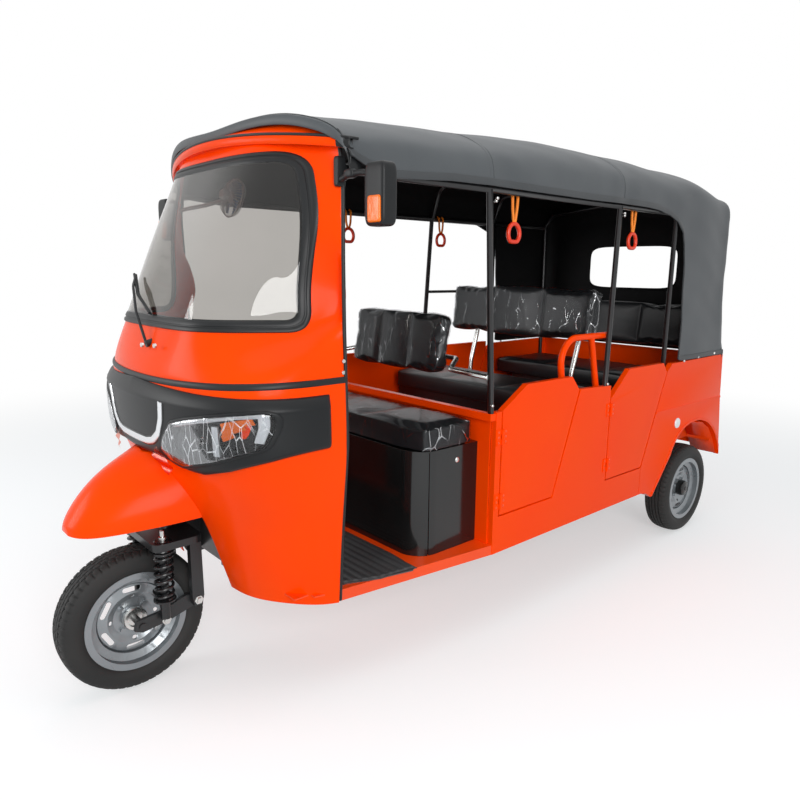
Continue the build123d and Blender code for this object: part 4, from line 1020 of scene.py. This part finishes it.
def fascia_surface():
    """A grid from the lower edge to the top: rounded foot, plain face, ridge and sloping shelf.

    Columns follow the share of the nose's width up to the ends, where the face is chamfered back to
    the steel. Faces under the lamps are left out.
    """
    reach = share_at(np.array([414.0, 419, 425, 430, 433, 434]), 930.0, 1)
    fade = np.array([1, 0.97, 0.75, 0.5, 0.3, 0.0])
    inner = np.linspace(-reach[0], reach[0], 341)
    s = np.r_[-reach[:0:-1], inner, reach[1:]]
    fade = np.r_[fade[:0:-1], np.ones(341), fade[1:]]
    x = np.abs(front(s, np.full(len(s), 930.0), 28.0)[..., 0])
    foot = np.interp(x, *zip(*FASCIA_FOOT))
    top = np.interp(x, [0, 27, 156, 360, 592], [1067, 1065, 1059, 1051, 1046])
    levels = np.r_[0, 0.2, 1, 3, 7, 12, 18]
    rise = np.array([-8, 4, 12, 19, 25, 28.5, 30.0])
    share = np.linspace(0, 1, 52)[1:]
    z = np.vstack([foot + level for level in levels] + [foot + 18 + (1008 - foot - 18) * w for w in share])
    z = np.vstack([z] + [1008 + (top - 1008) * w for w in (0.08, 0.3, 0.6, 0.88, 0.97, 1.0, 1.0)])
    grow = np.r_[rise, np.full(51, 30.0), 31, 28, 21, 14, 10, 6, -6][:, None]
    points, faces = shell(front(s, z, np.where(grow > 0, grow * fade, grow)))
    centre = points[faces].mean(axis=1)
    return points, faces[~inside(np.abs(centre[:, 0]), centre[:, 2], LAMP_OUTLINE)]


def loop_of(outline, grow, inset=0.0, step=6.0):
    """An outline resampled evenly and drawn in by inset, laid on the nose at a given height."""
    ring = np.vstack([outline, outline[:1]])
    flat = evenly(ring, int(run_of(ring)[-1] / step), endpoint=False)
    for _ in range(3):
        flat = (np.roll(flat, 1, 0) + 2 * flat + np.roll(flat, -1, 0)) / 4
    tangent = unit(np.roll(flat, -1, 0) - np.roll(flat, 1, 0))
    flat = flat + inset * np.stack([tangent[:, 1], -tangent[:, 0]], axis=1)
    return at_x(flat[:, 0], flat[:, 1], grow)


def on_side(side, shape):
    """A left-hand shape as it is, or for side -1 on the right with its faces still outwards."""
    points, faces = shape
    return points * (side, 1, 1), faces[:, ::side]


def closed_in(outline, steps, dome=0):
    """Rings of given height and inset in an outline, and five that shrink to the last one's middle."""
    rings = [loop_of(outline, *step) for step in steps]
    last, middle = rings[-1], rings[-1].mean(axis=0)
    for k in (0.8, 0.6, 0.4, 0.2, 0.02):
        flat = middle + (last - middle) * k
        rings.append(at_x(flat[:, 0], flat[:, 2], steps[-1][0] + dome * (1 - k)))
    return shell(np.stack(rings), closed_columns=True)


def smoothed(line, times):
    """A line whose inner points are averaged with their neighbours a few times."""
    for _ in range(times):
        line[1:-1] = (line[:-2] + 2 * line[1:-1] + line[2:]) / 4
    return line


def bar(path, width, grow, depth=8.0):
    """A rounded bar laid along a path of x and z on the nose, standing out at a given height."""
    path = np.array(path, float)
    flat = smoothed(evenly(path, max(int(run_of(path)[-1] / 5), 4)), 2)
    tangent = unit(np.gradient(flat, axis=0))
    side = np.stack([tangent[:, 1], -tangent[:, 0]], axis=1)
    section = [(-1, -depth), (-1, -1.5), (-0.8, -0.3), (-0.4, 0), (0.4, 0), (0.8, -0.3), (1, -1.5),
               (1, -depth)]
    points, faces = shell(np.stack(
        [at_x(*(flat + side * across * width / 2).T, grow + rise) for across, rise in section]))
    ends = [[k * len(flat) + end for k in order] for end in (0, len(flat) - 1)
            for order in ((0, 1, 6, 7), (1, 2, 5, 6), (2, 3, 4, 5))]
    return points, np.vstack([faces, ends])


BLACK_PLASTIC = made_surface("black_plastic", (0.010, 0.011, 0.012), (0.015, 0.016, 0.017), (0.34, 0.46),
                             (1500, 0.2), Specular_IOR_Level=0.22)
LAMP_WHITE = made_surface("lamp_silver", (0.72, 0.74, 0.76), (0.82, 0.84, 0.86), (0.2, 0.3), (600, 0.05),
                          Metallic=0.5)
AMBER = made_surface("amber_reflector", (0.9, 0.14, 0.0), (1.0, 0.2, 0.0), (0.15, 0.25), (160, 0.6),
                     (60, 0.1))
LENS = made_surface("lamp_lens", (0.80, 0.81, 0.82), (0.86, 0.86, 0.87), (0.0, 0.03), (300, 0.0),
                    Transmission_Weight=1.0, IOR=1.3, Specular_IOR_Level=0.3)
panel = mesh_piece("front_panel", *fascia_surface(), BLACK_PLASTIC, angle=45)
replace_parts(panel, "fascia")
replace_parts(panel, "headlamps")
LAMP_BARS = [([(424, 962), (424, 872)], 20),
             ([(258, 946), (330, 964), (410, 980), (480, 994), (548, 1001)], 13),
             ([(545, 1002), (544, 965), (534, 920)], 19)]
AMBER_BARS = [([(444, 962), (480, 972), (526, 983)], 20), ([(444, 945), (470, 952), (505, 966)], 18),
              ([(444, 927), (456, 931), (476, 942)], 18)]
outline = np.array(LAMP_OUTLINE, float)
LAMP_TRAY = closed_in(outline, [(29, 0), (16, 3), (8, 6), (8, 14), (5, 16), (5, 30)])
LAMP_COVER = closed_in(outline, [(24, -1), (32, -1), (34, 2), (35, 10)], dome=2)
LAMP_RIM = shell(np.stack([loop_of(outline, grow, inset) for inset, grow in (
    (-9, 29), (-8.5, 32.5), (-6, 34.8), (-1, 35.2), (1.5, 33.5), (1.5, 26))]), closed_columns=True)
for side, name in SIDES:
    for kind, shape, finish in (("tray", LAMP_TRAY, BLACK_GLOSS), ("rim", LAMP_RIM, BLACK_PLASTIC),
                                ("bars", joined(*[bar(*path, 20, 12) for path in LAMP_BARS]), LAMP_WHITE),
                                ("amber", joined(*[bar(*path, 15, 9) for path in AMBER_BARS]), AMBER),
                                ("lens", LAMP_COVER, LENS)):
        piece = mesh_piece(f"lamp_{kind}_{name}", *on_side(side, shape), finish, angle=40)
        if kind == "lens":
            thick(piece, 2.5)
strip_path = [(-216, 1014), (-205, 955), (-182, 908), (-146, 882), (-104, 873), (104, 873), (146, 882),
              (182, 908), (205, 955), (216, 1014)]
mesh_piece("light_strip", *bar(strip_path, 21, 35, 8), LAMP_WHITE)
mesh_piece("light_strip_bezel", *bar(strip_path, 30, 32, 4), BLACK_GLOSS)


# ---------------------------------------------------------------- film on the lamps
# The lamps keep their clear wrapping film, with painted glints on its crinkles, and a loose reddish tab
# at the inner lower corner.
FILM_TAB = clear_film("film_tab", 0.48, 0.75, (0.95, 0.62, 0.56))
lens_points, lens_faces = LAMP_COVER
lamp_film = lens_points - (0, 1, 0) * (2.5 + crumple(lens_points, 0.8))[:, None], lens_faces
u, v = np.meshgrid(np.linspace(0, 1, 26), np.linspace(0, 1, 20), indexing="ij")
tab = shell(at_x(172 + 72 * u - 34 * v, 868 - 56 * u - 34 * v, 37 + 3 * np.sin(9 * u + 7 * v) + 4 * v))
for side, name in SIDES:
    film = mesh_piece(f"lamp_film_{name}", *on_side(side, lamp_film), FILM_BUNCHED_GLINTING, angle=60)
    flap = thick(mesh_piece(f"lamp_tab_{name}", *on_side(side, tab), FILM_TAB, angle=60), 0.4, 0)


# ---------------------------------------------------------------- gutter and pillar trim
# A rubber bead is pushed on to the roof's front edge, and a rubber edge runs down each pillar.
def pipe(path, radius, around=12, step=6.0, smooth=2):
    """A round bar along a path, evened out and rounded at its corners, with closed ends.

    Rings stand square to the tangent; their first axis is the tangent's cross product with a
    fixed direction.
    """
    path = np.array(path, float)
    line = smoothed(evenly(path, max(int(run_of(path)[-1] / step), 6)), smooth * 3)
    tangent = unit(np.gradient(line, axis=0))
    first = unit(np.cross(tangent, np.eye(3)[np.abs(tangent).mean(axis=0).argmin()]))
    turn = np.linspace(0, 2 * pi, around, endpoint=False)[None, :, None]
    rings = np.cos(turn) * first[:, None] + np.sin(turn) * np.cross(tangent, first)[:, None]
    rings = line[:, None] + radius * rings
    ends = np.broadcast_to(line[[0, -1], None], (2, around, 3))
    return shell(np.concatenate([ends[:1], rings, ends[1:]]), closed_columns=True)


share = np.linspace(-1, 1, 160)
gutter = np.stack([BROW_HALF * share, BROW_Y - 1 + BROW_SWEEP * share ** 2,
                   BROW_LOW + 26 + BROW_RISE * (1 - share ** 2)], axis=1)
mesh_piece("roof_gutter", *pipe(np.vstack([gutter, (BROW_HALF, 520, 1778)]), 4.5), SEAL_RUBBER)
PILLAR_EDGE = [(525, 340), (540, 561), (570, 886), (563, 1073), (557, 1234), (554, 1447), (555, 1664),
               (539, 1768)]
for side, name in SIDES:
    path = [(side * (x + 1), 497, z) for x, z in PILLAR_EDGE]
    mesh_piece(f"pillar_trim_{name}", *pipe(path, 6.0), SEAL_RUBBER)
heads = hexagons([(563, 489, 1140), (561, 489, 1105), (561, 489, 1070), (561, 489, 1035)], 7, 5)
mesh_piece("pillar_bolts", *heads, STEEL)


# ---------------------------------------------------------------- wiper
# A black steel arm on a splined pivot, cranked towards its blade.
arm = [pipe([(58, 84, 1174), (58, 146, 1192)], 11),
       pipe([(58, 86, 1176), (-40, 96, 1270), (-150, 132, 1352), (-226, 172, 1386)], 4.5),
       pipe([(-230, 168, 1390), (-110, 130, 1325), (8, 122, 1268)], 4.5),
       pipe([(-228, 174, 1388), (-110, 136, 1322), (8, 128, 1264)], 3.0)]
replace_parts(mesh_piece("wiper_arm", *joined(*arm), BLACK_PLASTIC), "wiper")
mesh_piece("wiper_bolt", *hexagons([(140, 84, 1176), (58, 76, 1172)], 8, 8, axis=1, way=-1), STEEL)


# ---------------------------------------------------------------- mirrors
# A black moulded shell on a bent arm, with a turn signal in the lower half of its front.
def pod(centre, half, power=0.35, steps=(40, 60)):
    """A rounded box: a sphere's sines and cosines raised to a low power, stretched to half sizes."""
    up = np.linspace(-pi / 2, pi / 2, steps[0])[:, None]
    turn = np.linspace(0, 2 * pi, steps[1], endpoint=False)[None, :]
    c, s, level, rise = (np.sign(part) * np.abs(part) ** power for part in (
        np.cos(turn), np.sin(turn), np.cos(up), np.sin(up)))
    points = np.stack([level * c, level * s, rise + 0 * turn], axis=-1)
    return shell(points * half + centre, closed_columns=True)


for side, name in SIDES:
    at = np.array([side, 1, 1])
    arms = [pipe(at * [(552, 486, 1664), (600, 484, 1676), (650, 494, 1680), (706, 508, 1668)], 9),
            pod(at * (552, 489, 1690), (10, 16, 42), 0.25), pod(at * (606, 486, 1679), (22, 13, 13), 0.6)]
    mirror = mesh_piece(f"mirror_arm_{name}", *joined(*arms), BLACK_PLASTIC)
    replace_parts(mirror, "mirrors")
    mesh_piece(f"mirror_shell_{name}", *pod(at * (716, 506, 1616), (43, 28, 86), 0.32), BLACK_PLASTIC)
    mesh_piece(f"mirror_signal_{name}", *pod(at * (722, 484, 1576), (27, 11, 36), 0.25), AMBER)


# ---------------------------------------------------------------- hand grips
# A yellow-orange strap looped over the roof rail carries a moulded D-shaped ring.
GRIP_PLASTIC = made_surface("grip_plastic", (0.72, 0.03, 0.004), (0.82, 0.045, 0.006), (0.25, 0.35),
                            (400, 0.1))
GRIP_STRAP = made_surface("grip_strap", (0.85, 0.2, 0.006), (0.95, 0.27, 0.01), (0.45, 0.6), (1400, 0.4))
for side, places in ((1, ((1270, 1548), (2100, 1548))), (-1, ((1364, 1579), (2014, 1579)))):
    for y, z in places:
        x = side * 564
        turn = np.linspace(-0.2, 2 * pi - 0.2, 80)
        low = z + 36 * np.maximum(np.sin(turn), -0.8)
        ring = np.stack([x + 0 * turn, y + 32 * np.cos(turn), low], axis=1)
        name = f"{dict(SIDES)[side]}_{y}"
        grip = mesh_piece(f"grip_ring_{name}", *pipe(ring, 8, step=4, smooth=1), GRIP_PLASTIC)
        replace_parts(grip, "hand_grips")
        strap = [pipe([(x, y + lean * 3, z + 34), (x, y + lean * 13, 1640), (x, y + lean * 16, 1700),
                       (x + side * 14, y + lean * 16, 1706)], 5.5, smooth=1) for lean in (-1, 1)]
        mesh_piece(f"grip_strap_{name}", *joined(*strap), GRIP_STRAP)


# ---------------------------------------------------------------- cabin fan
# A small white wire cage with blue blades on a grey clamp arm.
FAN_WHITE = made_surface("fan_white", (0.7, 0.74, 0.74), (0.8, 0.82, 0.82), (0.25, 0.35), (500, 0.1))
FAN_BLUE = made_surface("fan_blue", (0.12, 0.24, 0.5), (0.16, 0.3, 0.58), (0.2, 0.3), (500, 0.1))


def placed(shape, centre, tilt=75, turn=20):
    """A shape tilted about x, then turned with the fan about its own upright, and moved."""
    points, faces = shape
    a, b = radians(tilt), radians(turn)
    roll = np.array([(cos(b), -sin(b), 0), (sin(b), cos(b), 0), (0, 0, 1)])
    pitch = np.array([(1, 0, 0), (0, cos(a), -sin(a)), (0, sin(a), cos(a))])
    return points @ (pitch @ roll).T + centre, faces


def cage():
    """Wires from the hub over the rim on both faces, with three hoops."""
    wires, radius, rise = [], np.array([20, 45, 68, 76, 78]), np.array([26, 25, 19, 8, 0])

    def add(across, turn, height, *sizes):
        """One wire through points given by radius, angle and height."""
        wires.append(pipe(np.stack([across * np.cos(turn), across * np.sin(turn), height], axis=1), *sizes))

    for turn in np.linspace(0, 2 * pi, 40, endpoint=False):
        for face in (1, -1):
            add(radius, turn, rise * face, 0.9, 5, 9, 0)
    turn = np.linspace(0, 2 * pi, 61)
    for hoop, height, thickness in ((78, 0, 3.0), (45, 25, 1.0), (45, -25, 1.0)):
        add(hoop, turn, height + 0 * turn, thickness, 6, 8, 0)
    return joined(*wires)


def blades():
    """Five twisted blades: each climbs with the angle and widens with the radius."""
    parts = []
    r, s = np.meshgrid(np.linspace(18, 66, 14), np.linspace(-0.5, 0.5, 12), indexing="ij")
    for start in np.linspace(0, 2 * pi, 5, endpoint=False):
        angle = start + s * (0.9 + r / 160)
        parts.append(shell(np.stack([r * np.cos(angle), r * np.sin(angle), 16 * s], axis=-1)))
    return joined(*parts)


FAN = np.array((-370, 630, 1694.0))
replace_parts(mesh_piece("fan_cage", *placed(cage(), FAN), FAN_WHITE), "cabin_fan")
thick(mesh_piece("fan_blades", *placed(blades(), FAN), FAN_BLUE), 1.6, 0)
motor = joined(pod((0, 0, 0), (20, 20, 25), 0.6), pod((0, 0, 34), (18, 18, 20), 0.5))
mesh_piece("fan_motor", *placed(motor, FAN), FAN_WHITE)
mesh_piece("fan_arm", *pipe([(-540, 486, 1642), (-470, 560, 1664), (-382, 622, 1690)], 8), FAN_WHITE)


# ---------------------------------------------------------------- doors and body fittings
# Painted rivets hold the hinge leaves, steel snaps the canopy, and a pale reflector the quarter.
def studs(places, half, power, steps=(10, 16)):
    """One rounded head at each place."""
    return joined(*[pod(place, half, power, steps) for place in places])


RIVET = made_surface("painted_rivet", (0.85, 0.07, 0.002), (0.9, 0.08, 0.002), (0.25, 0.32), (500, 0.1))
for door, pin_y, heights in (("front", 1196.5, (544, 799)), ("rear", 1946.5, (548, 805))):
    for kind, y, body in (("hinge", pin_y - 20, "vehicle"), ("door", pin_y + 20, "door_" + door)):
        heads = studs([(609, y, z + rise) for z in heights for rise in (-20, 0, 20)], (3, 4.5, 4.5), 1.0)
        mesh_piece(f"{kind}_rivets_{door}", *heads, RIVET, body)
snaps = [(x, y, z) for x in (607, -607) for y, z in ((2620, 971), (2775, 979), (2964, 986))]
mesh_piece("canopy_snaps", *studs(snaps, (5, 7, 7), 0.9, (10, 18)), STEEL)
poles = [(591, 1132, 1652), (593, 1972, 1652), (602, 1139, 925), (602, 1915, 925), (600, 1128, 1660),
         (600, 1960, 1660)]
mesh_piece("pole_bolts", *studs(poles, (7, 6, 6), 0.8), STEEL)
WHEEL_ARCH = np.array([(2392, 296), (2551, 470), (2600, 545), (2663, 590), (2790, 622), (2920, 606),
                       (3010, 560), (3080, 480), (3134, 392)], float)
liner = shell(np.stack([np.insert(WHEEL_ARCH, 0, x, axis=1) for x in (596, 520, 452)]))
for side, name in SIDES:
    disc = turned([(0, 27), (3, 27), (6, 24), (7.5, 12), (8, 0.3)], (side * 606, 2605, 648), 40, 0, side < 0)
    mesh_piece(f"side_reflector_{name}", *disc, LAMP_WHITE)
    thick(mesh_piece(f"arch_liner_{name}", *on_side(side, liner), PAINT), 2, 0)
mesh_piece("seat_lock", *pod((519, 1047, 718), (6, 11, 11), 0.9, (12, 24)), STEEL)


# ---------------------------------------------------------------- floor mat
# Moulded rubber with long ribs, lying on the driver's floor.
def mat_surface():
    """A grid in plan between curved ends, raised in rounded ribs by a power of a cosine along x."""
    u, v = np.meshgrid(np.linspace(-1, 1, 401), np.linspace(0, 1, 60), indexing="xy")
    half = np.interp(v, [0, 0.3, 0.6, 1], [486, 500, 548, 566])
    y = 424 + 384 * v
    x = u * half
    rib = np.abs(np.cos(y / 16 * pi / 2)) ** 0.6
    edge = np.clip(np.minimum(1 - np.abs(u), np.minimum(v, 1 - v)) * 40, 0, 1)
    return shell(np.stack([x, y, 376.5 + 4.5 * rib * edge - 3.5 * (1 - edge)], axis=-1), flip=True)


MAT_RUBBER = made_surface("mat_rubber", (0.045, 0.045, 0.047), (0.065, 0.065, 0.067), (0.35, 0.5), (900, 0.4))
mesh_piece("ribbed_mat", *mat_surface(), MAT_RUBBER, angle=70)


# ---------------------------------------------------------------- frame, floor and running gear
# Welded tubes and pressed steel in black enamel, with orange paint on the floor and the grab tube.
FRAME_BLACK = made_surface("frame_black", (0.010, 0.010, 0.011), (0.016, 0.016, 0.017), (0.26, 0.38),
                           (700, 0.08))
INNER_PAINT = made_surface("inner_paint", (0.86, 0.06, 0.0008), (0.92, 0.07, 0.0008), (0.3, 0.4), (260, 0.05))
ENGINE_METAL = made_surface("engine_metal", (0.08, 0.08, 0.08), (0.14, 0.14, 0.135), (0.45, 0.7), (500, 0.5),
                            Metallic=0.7)
for node, finish, width in (
        ("chassis_frame", FRAME_BLACK, 1.5), ("wheel_well", FRAME_BLACK, 0), ("floor_pan", INNER_PAINT, 1.0),
        ("bench_bases", FRAME_BLACK, 2.0), ("canopy_frame", FRAME_BLACK, 0), ("grab_tube", PAINT, 0),
        ("engine", ENGINE_METAL, 4.0), ("rear_axle", FRAME_BLACK, 2.0)):
    dressed(node, finish, width)
dressed("fork", FRAME_BLACK, 1.5, "steering")
dressed("steering_column", FRAME_BLACK, 1.0, "steering")


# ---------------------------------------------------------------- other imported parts
# Small parts whose solids carry their finish directly.
LAMP_RED = made_surface("lamp_red", (0.4, 0.004, 0.004), (0.5, 0.008, 0.006), (0.1, 0.16), (300, 0.1),
                        Transmission_Weight=0.3)

FINISH_OF_SLOT = {
    "body_paint": PAINT, "inner_paint": INNER_PAINT, "frame_black": FRAME_BLACK,
    "black_plastic": BLACK_PLASTIC, "black_gloss": BLACK_GLOSS, "seal_rubber": SEAL_RUBBER,
    "mat_rubber": MAT_RUBBER, "tyre_rubber": TYRE_RUBBER, "glass": GLASS, "lens": LENS, "lamp_red": LAMP_RED,
    "canopy_cloth": CANOPY_CLOTH, "seat_cover": SEAT_VINYL, "wheel_silver": WHEEL_SILVER, "steel": STEEL,
    "engine_metal": ENGINE_METAL, "grip_orange": GRIP_PLASTIC, "fan_plastic": FAN_WHITE,
}
for row in frame["record"]["subparts"]:
    solid = nodes[row["node"]]
    solid.data.materials.clear()
    solid.data.materials.append(FINISH_OF_SLOT[row["material_slot"]])
